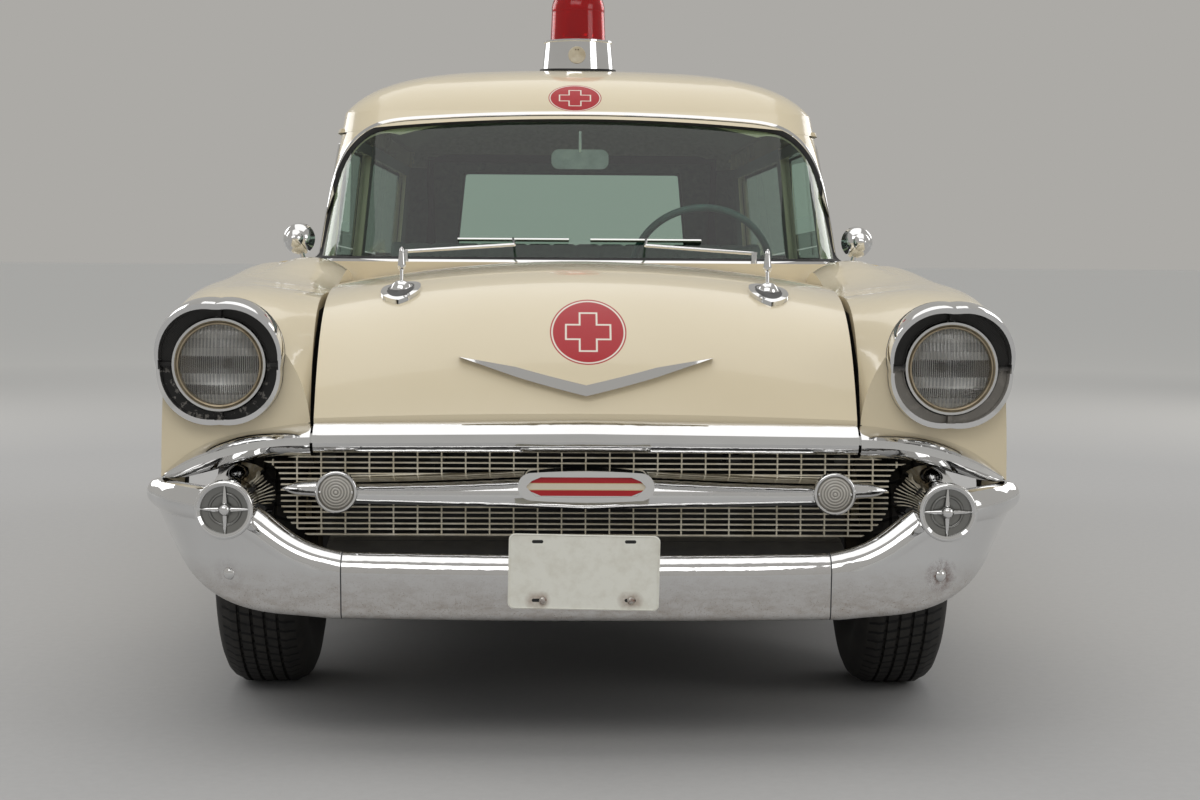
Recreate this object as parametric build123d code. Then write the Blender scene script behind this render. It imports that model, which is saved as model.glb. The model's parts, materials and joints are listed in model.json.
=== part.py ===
from build123d import *
import math
import os

# Station-wagon ambulance car. Millimetres, front towards -Y, +X is the driver's side, ground at z = 0.

# Overall sizes
LENGTH = 5151
WHEELBASE = 2921
FRONT_OVERHANG = 850
TRACK_FRONT = 1473
TRACK_REAR = 1493
TYRE_D = 686
TYRE_W = 205
RIM_D = 372
HUB_R = 34
FRONT_Y = -LENGTH / 2
REAR_Y = LENGTH / 2
FRONT_AXLE_Y = FRONT_Y + FRONT_OVERHANG
REAR_AXLE_Y = FRONT_AXLE_Y + WHEELBASE
AXLE_Z = TYRE_D / 2

# Body heights and half-widths
SILL_Z = 285
BELT_Z = 1000
RAIL_Z = 1388
ROOF_EDGE_Z = 1450
SILL_X = 872
WIDE_X = 926
WIDE_Z = 640
SHOULDER_X = 884
SHOULDER_Z = 958
GLASS_BELT_X = 757
GLASS_TOP_X = 716
SKIN = 48
WALL = 36
PANEL_GAP = 7
RUN_GAP = 6
SEAT_GAP = 0.3
FLOOR_Z = 380
LOAD_Z = 560
FLOOR_T = 20
RAIL_TOP_Z = FLOOR_Z - SEAT_GAP
ENGINE_Z = 360

# Stations along the car
REAR_OVERHANG = REAR_Y - REAR_AXLE_Y
FENDER_FRONT_Y = FRONT_Y + 270.5
FENDER_REAR_Y = FRONT_AXLE_Y + 690.5
HOOD_REAR_Y = FENDER_REAR_Y + 25
HOOD_FRONT_Y = FENDER_FRONT_Y - 20
PILLAR_Y = HOOD_REAR_Y + 420
DOOR_REAR_Y = REAR_AXLE_Y - 895.5
COWL_FRONT_Y = HOOD_REAR_Y + PANEL_GAP
TAIL_Y = REAR_Y - 175.5
GATE_Y = TAIL_Y - 70
ROOF_REAR_Y = GATE_Y - 240
FIN_FRONT_Y = REAR_AXLE_Y - 600
ARCH_R = 415
REAR_ARCH_R = 400


# Building helpers
def outline(rows):
    """Closed face. Row (a, b) is a straight run to a point, (a, b, mid_a, mid_b) an arc to it."""
    edges = []
    start = rows[-1][:2]
    for row in rows:
        end = row[:2]
        if math.dist(start, end) > 0.001:
            if len(row) == 4:
                edges.append(ThreePointArc(start, row[2:], end))
            else:
                edges.append(Line(start, end))
        start = end
    return make_face(edges)


def side_prism(rows, x0, x1):
    """Side view outline (y, z) from x0 to x1."""
    return extrude(Plane.YZ.offset(x0) * outline(rows), amount=x1 - x0)


def plan_prism(rows, z0, z1):
    """Plan outline (x, y) from z0 to z1."""
    return extrude(Plane.XY.offset(z0) * outline(rows), amount=z1 - z0)


def front_prism(rows, y0, y1):
    """Front view outline (x, z) from y0 to y1."""
    return extrude(Plane.XZ.offset(-y1) * outline(rows), amount=y1 - y0)


def box(x0, x1, y0, y1, z0, z1):
    middle = Pos((x0 + x1) / 2, (y0 + y1) / 2, (z0 + z1) / 2)
    return middle * Box(x1 - x0, y1 - y0, z1 - z0)


def cyl_x(x0, x1, y, z, r):
    return Pos((x0 + x1) / 2, y, z) * Rot(0, 90, 0) * Cylinder(r, x1 - x0)


def cyl_y(x, y0, y1, z, r):
    return Pos(x, (y0 + y1) / 2, z) * Rot(90, 0, 0) * Cylinder(r, y1 - y0)


def cyl_z(x, y, z0, z1, r):
    return Pos(x, y, (z0 + z1) / 2) * Cylinder(r, z1 - z0)


def rod(start, end, r):
    """Round bar between two points."""
    along = Vector(*end) - Vector(*start)
    plane = Plane(origin=start, z_dir=along)
    return extrude(plane * Circle(r), amount=along.length)


def mirror_x(shape):
    return shape.mirror(Plane.YZ)


def both(shape):
    """A piece and its mirror image on the other side."""
    return [shape, mirror_x(shape)]


def solids_of(*shapes):
    found = []
    for shape in shapes:
        for item in shape if isinstance(shape, (list, tuple)) else [shape]:
            found.extend(item.solids())
    return found


def save(node, *shapes):
    solids = solids_of(*shapes)
    whole = solids[0] if len(solids) == 1 else Compound(children=solids)
    export_step(whole, f"parts/{node}.step")


def revolve_y(rows, x, y, z):
    """Turned piece about a line along Y. Rows are (radius, distance back from y)."""
    face = outline(rows)
    turned = revolve(Plane.XY * face, axis=Axis.Y)
    return Pos(x, y, z) * turned


def revolve_x(rows, x, y, z):
    """Turned piece about a line along X. Rows are (radius, distance outboard of x)."""
    face = outline(rows)
    turned = revolve(Plane.XY * face, axis=Axis.Y)
    return Pos(x, y, z) * Rot(0, 0, -90) * turned


def revolve_z(rows, x, y, z):
    """Turned piece about a vertical line. Rows are (radius, height above z)."""
    face = outline(rows)
    turned = revolve(Plane.XZ * face, axis=Axis.Z)
    return Pos(x, y, z) * turned


# Body side form: one section with a crowned side and a rounded shoulder, swept along the car
def side_section(inset, low):
    return [
        (0, low),
        (SILL_X - inset, low),
        (SILL_X - inset, SILL_Z),
        (SHOULDER_X - inset, SHOULDER_Z - inset / 3, WIDE_X - inset, WIDE_Z),
        (GLASS_BELT_X - inset, BELT_Z - inset, SHOULDER_X - inset - 40, BELT_Z - inset - 8),
        (0, BELT_Z - inset),
    ]


def plan_taper(inset):
    """Half plan of the body side: nearly straight, drawn in a little at the tail."""
    tail_x = WIDE_X - 24 - inset
    middle_x = WIDE_X + 2 - inset
    return [
        (0, FENDER_REAR_Y - 300),
        (middle_x, FENDER_REAR_Y - 300),
        (middle_x, FIN_FRONT_Y + 300),
        (tail_x, TAIL_Y + 200, middle_x - 6, (FIN_FRONT_Y + TAIL_Y) / 2 + 200),
        (0, TAIL_Y + 200),
    ]


def body_half(inset, low):
    section = front_prism(side_section(inset, low), FENDER_REAR_Y - 300, TAIL_Y + 200)
    return section & plan_prism(plan_taper(inset), 0, BELT_Z + 10)


side_shell = body_half(0, SILL_Z) - body_half(SKIN, SILL_Z - 50)
side_shell = side_shell - box(-1, GLASS_BELT_X - WALL, FENDER_REAR_Y - 400, TAIL_Y + 300, 0, BELT_Z + 20)


# Greenhouse: ring wall between a belt outline and a roof edge outline
# columns: level z, half width, windscreen centre y, shoulder x, shoulder y, pillar y, rear y, corner radius
ROOF_EDGE = (ROOF_EDGE_Z, GLASS_TOP_X - 6, PILLAR_Y + 30, 560, PILLAR_Y + 90, PILLAR_Y + 260, ROOF_REAR_Y, 150)
GREENHOUSE = {
    "belt": (BELT_Z, GLASS_BELT_X, PILLAR_Y - 395, 600, PILLAR_Y - 315, PILLAR_Y - 10, GATE_Y, 120),
    "edge": ROOF_EDGE,
}


def greenhouse_wire(row, inset):
    z, half, centre_y, shoulder_x, shoulder_y, pillar_y, rear_y, radius = row
    half = half - inset
    front = centre_y + inset
    rows = [
        (shoulder_x - inset, shoulder_y + inset, 0, front),
        (half, pillar_y, shoulder_x + (half - shoulder_x) * 0.72, shoulder_y + (pillar_y - shoulder_y) * 0.34),
        (half, rear_y - inset - radius),
        (half - radius, rear_y - inset, half - radius * 0.293, rear_y - inset - radius * 0.293),
        (radius - half, rear_y - inset),
        (-half, rear_y - inset - radius, radius * 0.293 - half, rear_y - inset - radius * 0.293),
        (-half, pillar_y),
        (-(shoulder_x - inset), shoulder_y + inset,
         -(shoulder_x + (half - shoulder_x) * 0.72), shoulder_y + (pillar_y - shoulder_y) * 0.34),
    ]
    return Plane.XY.offset(z) * outline(rows)


def greenhouse_solid(inset):
    return loft([greenhouse_wire(GREENHOUSE["belt"], inset), greenhouse_wire(GREENHOUSE["edge"], inset)],
                ruled=True)


greenhouse = greenhouse_solid(0) - greenhouse_solid(WALL)

# Roof crown: level outlines shrinking upwards
# columns: z, half width, front y, shoulder x, shoulder y, pillar y, rear y, corner radius
CROWN = [
    ROOF_EDGE,
    (1490, GLASS_TOP_X - 44, PILLAR_Y + 55, 530, PILLAR_Y + 120, PILLAR_Y + 290, ROOF_REAR_Y - 25, 180),
    (1540, GLASS_TOP_X - 126, PILLAR_Y + 120, 460, PILLAR_Y + 185, PILLAR_Y + 370, ROOF_REAR_Y - 90, 220),
    (1580, GLASS_TOP_X - 261, PILLAR_Y + 245, 340, PILLAR_Y + 305, PILLAR_Y + 480, ROOF_REAR_Y - 220, 240),
    (1602, GLASS_TOP_X - 466, PILLAR_Y + 480, 180, PILLAR_Y + 530, PILLAR_Y + 670, ROOF_REAR_Y - 490, 160),
]


def crown_solid(drop, inset):
    faces = []
    for row in CROWN:
        shifted = (row[0] - drop,) + row[1:]
        faces.append(greenhouse_wire(shifted, inset))
    return loft(faces)


CROWN_T = 30
roof_crown = crown_solid(0, 0) - crown_solid(CROWN_T, CROWN_T)
roof_crown = roof_crown & box(-900, 900, -1200, 2600, ROOF_EDGE_Z, 1700)

# Windscreen opening in front view
SCREEN_BASE_Z = 1040
SCREEN_TOP_Z = 1424
screen_cut = front_prism([
    (-800, BELT_Z - 20),
    (800, BELT_Z - 20),
    (720, 1200),
    (600, SCREEN_TOP_Z - 26, 690, 1345),
    (-600, SCREEN_TOP_Z - 26, 0, SCREEN_TOP_Z),
    (-720, 1200, -690, 1345),
], FENDER_REAR_Y - 65, PILLAR_Y + 60)
screen_side = side_prism([
    (FENDER_REAR_Y - 165, 900), (PILLAR_Y - 38, 900), (PILLAR_Y - 38, 1000), (PILLAR_Y + 150, 1500),
    (FENDER_REAR_Y - 165, 1500)], -900, 900)
screen_cut = screen_cut & screen_side

REAR_OPEN_X = 610
GATE_TOP_Z = 1436
gate_cut = box(-REAR_OPEN_X, REAR_OPEN_X, GATE_Y - 430, REAR_Y, BELT_Z - 1, GATE_TOP_Z)

above_rail = box(-900, 900, -1200, 2600, RAIL_Z, ROOF_EDGE_Z)
roof_rim = (greenhouse & above_rail) - screen_cut - gate_cut
gutter = greenhouse_solid(-13) - greenhouse_solid(WALL / 2)
gutter = gutter & box(-900, 900, PILLAR_Y + 165, ROOF_REAR_Y - 60, RAIL_Z, RAIL_Z + 12)
roof = roof_crown + roof_rim + gutter
gate_tab = greenhouse & box(
    300, 360, GATE_Y - 330, GATE_Y - 130, GATE_TOP_Z - RUN_GAP + SEAT_GAP, GATE_TOP_Z + 1)
roof = roof + gate_tab + mirror_x(gate_tab)
save("roof", roof)

# Doors
DOOR_BOTTOM_Z = SILL_Z + 75
DOOR_FRAME_TOP = RAIL_Z - RUN_GAP
door_lower = [
    (FENDER_REAR_Y, DOOR_BOTTOM_Z + 30),
    (FENDER_REAR_Y, BELT_Z + 20),
    (DOOR_REAR_Y - PANEL_GAP, BELT_Z + 20),
    (DOOR_REAR_Y - PANEL_GAP, DOOR_BOTTOM_Z),
    (FENDER_REAR_Y + 30, DOOR_BOTTOM_Z),
]
door_upper = [
    (PILLAR_Y + 10, BELT_Z - 30),
    (PILLAR_Y + 10 + 130, DOOR_FRAME_TOP),
    (DOOR_REAR_Y - PANEL_GAP, DOOR_FRAME_TOP),
    (DOOR_REAR_Y - PANEL_GAP, BELT_Z - 30),
]
door_window = [
    (PILLAR_Y + 55, BELT_Z + 12),
    (PILLAR_Y + 165, DOOR_FRAME_TOP - 34),
    (DOOR_REAR_Y - 48, DOOR_FRAME_TOP - 34),
    (DOOR_REAR_Y - 48, BELT_Z + 12),
]
# The door's rear edge slants in plan, so that it swings clear of the quarter
EDGE_SLOPE = 0.12


def edge_plan(y_out, y_far):
    y_in = y_out - (1000 - 500) * EDGE_SLOPE
    return plan_prism([(500, y_far), (1000, y_far), (1000, y_out), (500, y_in)], 0, 1500)


DOOR_EDGE_OUT = DOOR_REAR_Y - PANEL_GAP + (1000 - WIDE_X) * EDGE_SLOPE
door_skin = side_shell & side_prism(door_lower, 500, 1000)
door_skin = door_skin - box(500, GLASS_BELT_X + PANEL_GAP, FENDER_REAR_Y - 1, PILLAR_Y + 10, 0, BELT_Z + 30)
door_frame = greenhouse & side_prism(door_upper, 500, 1000)
door_left = door_skin + door_frame - side_prism(door_window, 500, 1000)
door_left = door_left & edge_plan(DOOR_EDGE_OUT, FENDER_REAR_Y - 50)
GLASS_T = 6
side_glass_sheet = greenhouse_solid(WALL / 2 - GLASS_T / 2) - greenhouse_solid(WALL / 2 + GLASS_T / 2)
door_glass_left = side_glass_sheet & side_prism(door_window, 500, 1000)
save("door_left", door_left)
save("door_right", mirror_x(door_left))
save("door_glass_left", door_glass_left)
save("door_glass_right", mirror_x(door_glass_left))

# Body sides: sill, rear quarter with fin, pillars
quarter = side_shell & side_prism([
    (DOOR_REAR_Y - 60, SILL_Z - 1),
    (DOOR_REAR_Y - 60, BELT_Z + 20),
    (TAIL_Y, BELT_Z + 20),
    (TAIL_Y, 480),
    (TAIL_Y - 60, 430),
    (REAR_AXLE_Y + REAR_OVERHANG * 0.36, 330),
    (REAR_AXLE_Y, SILL_Z - 1),
], 500, 1000)
sill = side_shell & side_prism([
    (FENDER_REAR_Y, SILL_Z - 1),
    (FENDER_REAR_Y, DOOR_BOTTOM_Z - PANEL_GAP),
    (DOOR_REAR_Y + 1, DOOR_BOTTOM_Z - PANEL_GAP),
    (DOOR_REAR_Y + 1, SILL_Z - 1),
], 500, 1000)
rocker = box(770, 836, COWL_FRONT_Y, DOOR_REAR_Y + 20, SILL_Z + 15, DOOR_BOTTOM_Z - PANEL_GAP)
rocker = rocker + box(770, 822, COWL_FRONT_Y, DOOR_REAR_Y + 20, SILL_Z + 15, RAIL_TOP_Z)
sill = sill + rocker
quarter_window = [
    (DOOR_REAR_Y + 60, BELT_Z + 20),
    (DOOR_REAR_Y + 60, DOOR_FRAME_TOP - 34),
    (GATE_Y - 490, DOOR_FRAME_TOP - 34),
    (GATE_Y - 410, BELT_Z + 20),
]
side_wall = greenhouse & side_prism([
    (DOOR_REAR_Y - 60, BELT_Z - 30),
    (DOOR_REAR_Y - 60, RAIL_Z),
    (REAR_Y, RAIL_Z),
    (REAR_Y, BELT_Z - 30),
], REAR_OPEN_X + 6, 1000)
side_wall = side_wall - side_prism(quarter_window, 500, 1000)

def fin_face(share):
    """Fin section at a share of its run: flush with the shoulder at 0, full height at 1."""
    y = FIN_FRONT_Y + (TAIL_Y + 58 - FIN_FRONT_Y) * share
    top = BELT_Z - 52 + 140 * share ** 1.5
    draw_in = 26 * share ** 2
    rows = [
        (780, BELT_Z - 70),
        (SHOULDER_X - 6 - draw_in, SHOULDER_Z - 80),
        (SHOULDER_X - 4 - draw_in, SHOULDER_Z - 40),
        (SHOULDER_X - 10 - draw_in, top),
        (SHOULDER_X - 32 - draw_in, top + 4),
        (780, BELT_Z - 30, SHOULDER_X - 52 - draw_in, (top + BELT_Z - 30) / 2 - 8 * share),
    ]
    return Plane.XZ.offset(-y) * outline(rows)


fin = loft([fin_face(share) for share in (0, 0.33, 0.67, 1)])
fin = fin & side_prism([
    (FIN_FRONT_Y, BELT_Z - 90),
    (FIN_FRONT_Y, BELT_Z + 120),
    (TAIL_Y + 58, BELT_Z + 120),
    (TAIL_Y + 20, BELT_Z + 20),
    (TAIL_Y, BELT_Z - 90),
], 500, 1000)
rear_arch = cyl_x(500, 1000, REAR_AXLE_Y, AXLE_Z + 20, REAR_ARCH_R)
tail_wall = box(REAR_OPEN_X + RUN_GAP, 1000, TAIL_Y - 60, TAIL_Y, 480, BELT_Z - 4) & body_half(0, SILL_Z)
jamb = box(REAR_OPEN_X + RUN_GAP, REAR_OPEN_X + 40, GATE_Y - 45 + SEAT_GAP, TAIL_Y - 59, 500, BELT_Z - 4)
shelf = plan_prism([
    (REAR_OPEN_X + RUN_GAP, GATE_Y - 60), (770, GATE_Y - 180), (770, TAIL_Y), (REAR_OPEN_X + RUN_GAP, TAIL_Y)],
    BELT_Z - 40, BELT_Z - 4)
rear_region = edge_plan(DOOR_EDGE_OUT + PANEL_GAP, TAIL_Y + 200)
side_left = ((quarter + side_wall) & rear_region) + sill + fin + tail_wall + jamb + shelf - rear_arch
save("side_left", side_left)
save("side_right", mirror_x(side_left))
quarter_glass = side_glass_sheet & side_prism(quarter_window, 500, 1000)
save("quarter_glass", both(quarter_glass))

# Liftgate and tailgate
gate_region = box(
    -REAR_OPEN_X + RUN_GAP, REAR_OPEN_X - RUN_GAP, GATE_Y - 430, REAR_Y, BELT_Z + 4, GATE_TOP_Z - RUN_GAP)
gate_window = front_prism([
    (-500, BELT_Z + 60), (500, BELT_Z + 60), (460, GATE_TOP_Z - 60), (-460, GATE_TOP_Z - 60)], GATE_Y - 430, REAR_Y)
save("liftgate", (greenhouse & gate_region) - gate_window)
save("liftgate_glass", side_glass_sheet & gate_window)
TAILGATE_LOW_Z = 560
tailgate = side_prism([
    (GATE_Y - WALL, BELT_Z - 2),
    (GATE_Y, BELT_Z - 2),
    (GATE_Y + 10, TAILGATE_LOW_Z, GATE_Y + 42, 800),
    (GATE_Y - WALL, TAILGATE_LOW_Z),
], -REAR_OPEN_X + RUN_GAP, REAR_OPEN_X - RUN_GAP)
save("tailgate", tailgate)

# Windscreen glass
screen_glass = side_glass_sheet & screen_cut & box(
    -900, 900, PILLAR_Y - 610, PILLAR_Y + 190, SCREEN_BASE_Z - 30, 1500)
save("windscreen_glass", screen_glass)

# Cowl with pillars and bulkhead
pillar_zone = side_prism([
    (PILLAR_Y - 610, BELT_Z - 1), (PILLAR_Y + 4, BELT_Z - 1), (PILLAR_Y + 126, RAIL_Z - SEAT_GAP),
    (PILLAR_Y - 610, RAIL_Z - SEAT_GAP)], -900, 900)
cowl_pillars = (greenhouse & pillar_zone) - screen_cut
cowl_top = box(-GLASS_BELT_X, GLASS_BELT_X, COWL_FRONT_Y, PILLAR_Y + 4, BELT_Z - 50, BELT_Z + 4)
cowl_top = cowl_top - box(-700, 700, COWL_FRONT_Y + 190, PILLAR_Y + 10, BELT_Z - 60, BELT_Z + 10)
bulkhead = box(-GLASS_BELT_X, GLASS_BELT_X, COWL_FRONT_Y, COWL_FRONT_Y + 30, FLOOR_Z + FLOOR_T + SEAT_GAP, BELT_Z - 49)
cowl = cowl_top + cowl_pillars + bulkhead
FENDER_END_Y = FENDER_REAR_Y - PANEL_GAP
post = box(GLASS_BELT_X - 5, 812, COWL_FRONT_Y, COWL_FRONT_Y + 60, FLOOR_Z + FLOOR_T + SEAT_GAP, BELT_Z - 65)
post = post + box(786, 812, FENDER_END_Y + 0.5, COWL_FRONT_Y + 1, 480, 860)
post = post + box(625, 655, FENDER_END_Y + SEAT_GAP, COWL_FRONT_Y + 1, 600, 900)
for z in (520, 800):
    post = post + box(786, SILL_X, FENDER_END_Y + 0.5, FENDER_REAR_Y - SEAT_GAP, z, z + 60)
post = post + box(560, 592, HOOD_REAR_Y + SEAT_GAP, COWL_FRONT_Y + 1, BELT_Z - 50, BELT_Z - 43)
cowl = cowl + post + mirror_x(post)
save("cowl", cowl)

# Floor: front well, riser and load floor with wheelhouses
RISER_Y = DOOR_REAR_Y + 30
floor = side_prism([
    (COWL_FRONT_Y + 2, FLOOR_Z),
    (RISER_Y + FLOOR_T, FLOOR_Z),
    (RISER_Y + FLOOR_T, LOAD_Z),
    (GATE_Y - 45, LOAD_Z),
    (GATE_Y - 45, LOAD_Z + FLOOR_T),
    (RISER_Y, LOAD_Z + FLOOR_T),
    (RISER_Y, FLOOR_Z + FLOOR_T),
    (COWL_FRONT_Y + 2, FLOOR_Z + FLOOR_T),
], -900, 900)
inner_half = body_half(SKIN + SEAT_GAP, 0)
floor = floor & (inner_half + mirror_x(inner_half))
floor = floor - box(820, 900, COWL_FRONT_Y, RISER_Y, 0, LOAD_Z) - box(-900, -820, COWL_FRONT_Y, RISER_Y, 0, LOAD_Z)
GATE_TAB_X = 330
for side in (1, -1):
    floor = floor + box(side * GATE_TAB_X - 30, side * GATE_TAB_X + 30, GATE_Y - 46, GATE_Y - WALL - SEAT_GAP,
                        LOAD_Z + 2, LOAD_Z + FLOOR_T)
HOUSE_X = 598
for side in (1, -1):
    low_x, high_x = sorted((side * HOUSE_X, side * 870))
    low_w, high_w = sorted((side * (HOUSE_X + 14), side * 880))
    house = cyl_x(low_x, high_x, REAR_AXLE_Y, AXLE_Z + 20, REAR_ARCH_R)
    floor = floor + (house & box(-900, 900, REAR_AXLE_Y - 500, REAR_AXLE_Y + 500, LOAD_Z, 900))
    floor = floor - cyl_x(low_w, high_w, REAR_AXLE_Y, AXLE_Z + 20, REAR_ARCH_R - 14)
save("floor_pan", floor)

# Front fenders: cross sections along the car
# columns: y, gap x, gap z, crest x, crest z, shoulder x, shoulder z, bottom x
FENDER = [
    (FENDER_FRONT_Y, 584, 668, 778, 918, 890, 800, 890),
    (FENDER_FRONT_Y + 105, 590, 820, 784, 940, 902, 828, 900),
    (FENDER_FRONT_Y + 285, 597, 916, 794, 955, 912, 850, 908),
    (FENDER_REAR_Y - 465, 610, 945, 800, 978, 920, 890, 900),
    (FENDER_REAR_Y - PANEL_GAP, 620, 958, 780, 996, 908, 900, SILL_X + 4),
]
FENDER_T = 42


def fender_face(row, inset):
    y, gap_x, gap_z, crest_x, crest_z, shoulder_x, shoulder_z, bottom_x = row
    low = 280 - inset
    top = crest_z - inset
    rows = [
        (gap_x + inset, gap_z - inset),
        (crest_x, top, (gap_x + inset + crest_x) / 2, gap_z - inset + (top - gap_z + inset) * 0.78),
        (shoulder_x - inset, shoulder_z, (crest_x + shoulder_x - inset) / 2 + 26, top - (top - shoulder_z) * 0.24),
        (bottom_x - inset, low, shoulder_x + 8 - inset, (shoulder_z + low) / 2 + 60),
        (gap_x + inset, low),
    ]
    return Plane.XZ.offset(-y) * outline(rows)


def fender_solid(inset):
    faces = []
    for row in FENDER:
        shift = inset if row is FENDER[0] else 0
        faces.append(fender_face((row[0] + shift,) + row[1:], inset))
    return loft(faces)


HEADLAMP_X = 771
HEADLAMP_Z = 790
LAMP_HOLE_R = 92
front_low = front_prism([
    (500, 200), (1000, 200), (1000, 535), (905, 545), (578, 640, 770, 618), (500, 640)],
    FENDER_FRONT_Y - 95, FENDER_FRONT_Y + 110)
apron_cut = box(500, 660, FENDER_FRONT_Y - 95, FENDER_REAR_Y, 200, 560)
fender_left = fender_solid(0) - fender_solid(FENDER_T)
fender_left = fender_left - cyl_x(500, 1000, FRONT_AXLE_Y, AXLE_Z + 20, ARCH_R)
fender_left = fender_left - cyl_y(HEADLAMP_X, FENDER_FRONT_Y - 95, FENDER_FRONT_Y + 95, HEADLAMP_Z, LAMP_HOLE_R)
fender_left = fender_left - front_low - apron_cut
# The fender ends behind the bumper's wing, ahead of the wheel opening
fender_left = fender_left - box(500, 1000, FENDER_FRONT_Y - 95, FRONT_AXLE_Y - 250, 200, 440)
save("fender_left", fender_left)
save("fender_right", mirror_x(fender_left))

# Hood: crowned sheet from cross sections that fall away towards the lip
LIP_CROWN_Z = 690
LIP_EDGE_Z = 678
REAR_CROWN_Z = 1008
REAR_EDGE_Z = 952
NOSE_POWER = 7.5
HOOD_STATIONS = (1, 0.965, 0.92, 0.86, 0.79, 0.7, 0.58, 0.44, 0.3, 0.15, 0)


def hood_row(share):
    """Section at a share of the length ahead of the rear edge: y, half width, edge z, crown z."""
    fall = share ** NOSE_POWER
    y = HOOD_REAR_Y + (HOOD_FRONT_Y - HOOD_REAR_Y) * share
    half = 612 - 38 * share
    return y, half, REAR_EDGE_Z - (REAR_EDGE_Z - LIP_EDGE_Z) * fall, REAR_CROWN_Z - (REAR_CROWN_Z - LIP_CROWN_Z) * fall


HOOD = [hood_row(share) for share in HOOD_STATIONS]
HOOD_T = 24


def hood_face(row):
    y, half, edge_z, crown_z = row
    low_edge = edge_z - HOOD_T
    rows = [
        (half, edge_z, 0, crown_z),
        (half, low_edge),
        (-half, low_edge, 0, crown_z - HOOD_T),
        (-half, edge_z),
    ]
    return Plane.XZ.offset(-y) * outline(rows)


hood = loft([hood_face(row) for row in HOOD])
save("hood", hood)


def hood_surface_z(x, y):
    """Height of the crowned sheet, straight between its sections."""
    for first, last in zip(HOOD, HOOD[1:]):
        if first[0] <= y <= last[0]:
            share = (y - first[0]) / (last[0] - first[0])
            half, edge_z, crown_z = [first[i] + (last[i] - first[i]) * share for i in (1, 2, 3)]
            return crown_z - (crown_z - edge_z) * (x / half) ** 2
    return HOOD[-1][3]


def under_hood(lift):
    """Everything below the hood's outer surface raised by a lift."""
    faces = []
    for y, half, edge_z, crown_z in HOOD:
        rows = [(half + 20, edge_z + lift - 4, 0, crown_z + lift), (half + 20, 400), (-half - 20, 400),
                (-half - 20, edge_z + lift - 4)]
        faces.append(Plane.XZ.offset(-(y - lift)) * outline(rows))
    return loft(faces)


# Sight ornaments on the hood: teardrop socket with a pin
SIGHT_X = 414
SIGHT_Y = HOOD_FRONT_Y + 315
hood_clear = under_hood(SEAT_GAP)
sight_base_z = hood_surface_z(SIGHT_X, SIGHT_Y)
SIGHT_R = 44
sight_pad = plan_prism([
    (SIGHT_X - SIGHT_R, SIGHT_Y),
    (SIGHT_X, SIGHT_Y - 78, SIGHT_X - SIGHT_R + 8, SIGHT_Y - 46),
    (SIGHT_X + SIGHT_R, SIGHT_Y, SIGHT_X + SIGHT_R - 8, SIGHT_Y - 46),
    (SIGHT_X - SIGHT_R, SIGHT_Y, SIGHT_X, SIGHT_Y + SIGHT_R),
], sight_base_z - 60, sight_base_z + 40)
sight = (sight_pad & under_hood(7)) - hood_clear
pin_foot = (SIGHT_X, SIGHT_Y + 8, sight_base_z - 10)
pin_top = (SIGHT_X, SIGHT_Y + 20, sight_base_z + 92)
pin = rod(pin_foot, pin_top, 4) + revolve_z(
    [(0.1, -18), (9, 0, 7, -11), (6, 26), (0.1, 40, 4, 35)], SIGHT_X, SIGHT_Y + 17, sight_base_z + 62)
cup = revolve_z([(0.1, -14), (24, -14), (21, 14, 24, 4), (0.1, 26, 13, 23)], SIGHT_X, SIGHT_Y + 2, sight_base_z)
sight = sight + ((pin + cup) - hood_clear)
vee = front_prism([
    (0, 727), (150, 766, 70, 744), (272, 806), (150, 786), (0, 749, 60, 763),
    (-150, 786, -60, 763), (-272, 806), (-150, 766), (0, 727, -70, 744)], HOOD_FRONT_Y - 95, HOOD_FRONT_Y + 225)
vee = (vee & under_hood(12)) - hood_clear
save("hood_ornaments", both(sight), vee)

# Front bumper: pressed shell with a rolled top, wings swept round the corners and up beside the guards
BUMPER_LOW_Z = 281
BUMPER_TOP_Z = 408
BUMPER_Y = FRONT_Y + 45
BUMPER_T = 60
BUMPER_WALL = 9
WING_X = 938.5
# columns: x, distance back, top z, crease z, face foot z, low z, face tuck, roll bulge, roll depth
BUMPER_JOINT_X = 498
BUMPER = [
    (0, 0, 408, 378, 302, 281, 6, 6, 60),
    (249, 3, 409, 378, 302, 281, 6, 6, 60),
    (BUMPER_JOINT_X, 12, 412, 380, 304, 283, 6, 6, 58),
    (560, 18, 427, 386, 306, 285, 7, 6, 56),
    (621, 27.5, 458, 402, 309, 288, 8, 7, 54),
    (681, 41, 500, 438, 314, 293, 11, 10, 52),
    (739, 61, 528, 466, 326, 304, 16, 14, 49),
    (793, 89, 538, 476, 346, 322, 21, 18, 45),
    (840, 128, 541, 478, 372, 348, 24, 22, 41),
    (876, 178, 541, 479, 398, 376, 26, 24, 38),
    (WING_X - 35, 236, 538, 481, 422, 404, 25, 26, 34),
    (WING_X - 19, 297, 532, 486, 444, 430, 20, 25, 28),
]
JOINT_INDEX = 2


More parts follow.
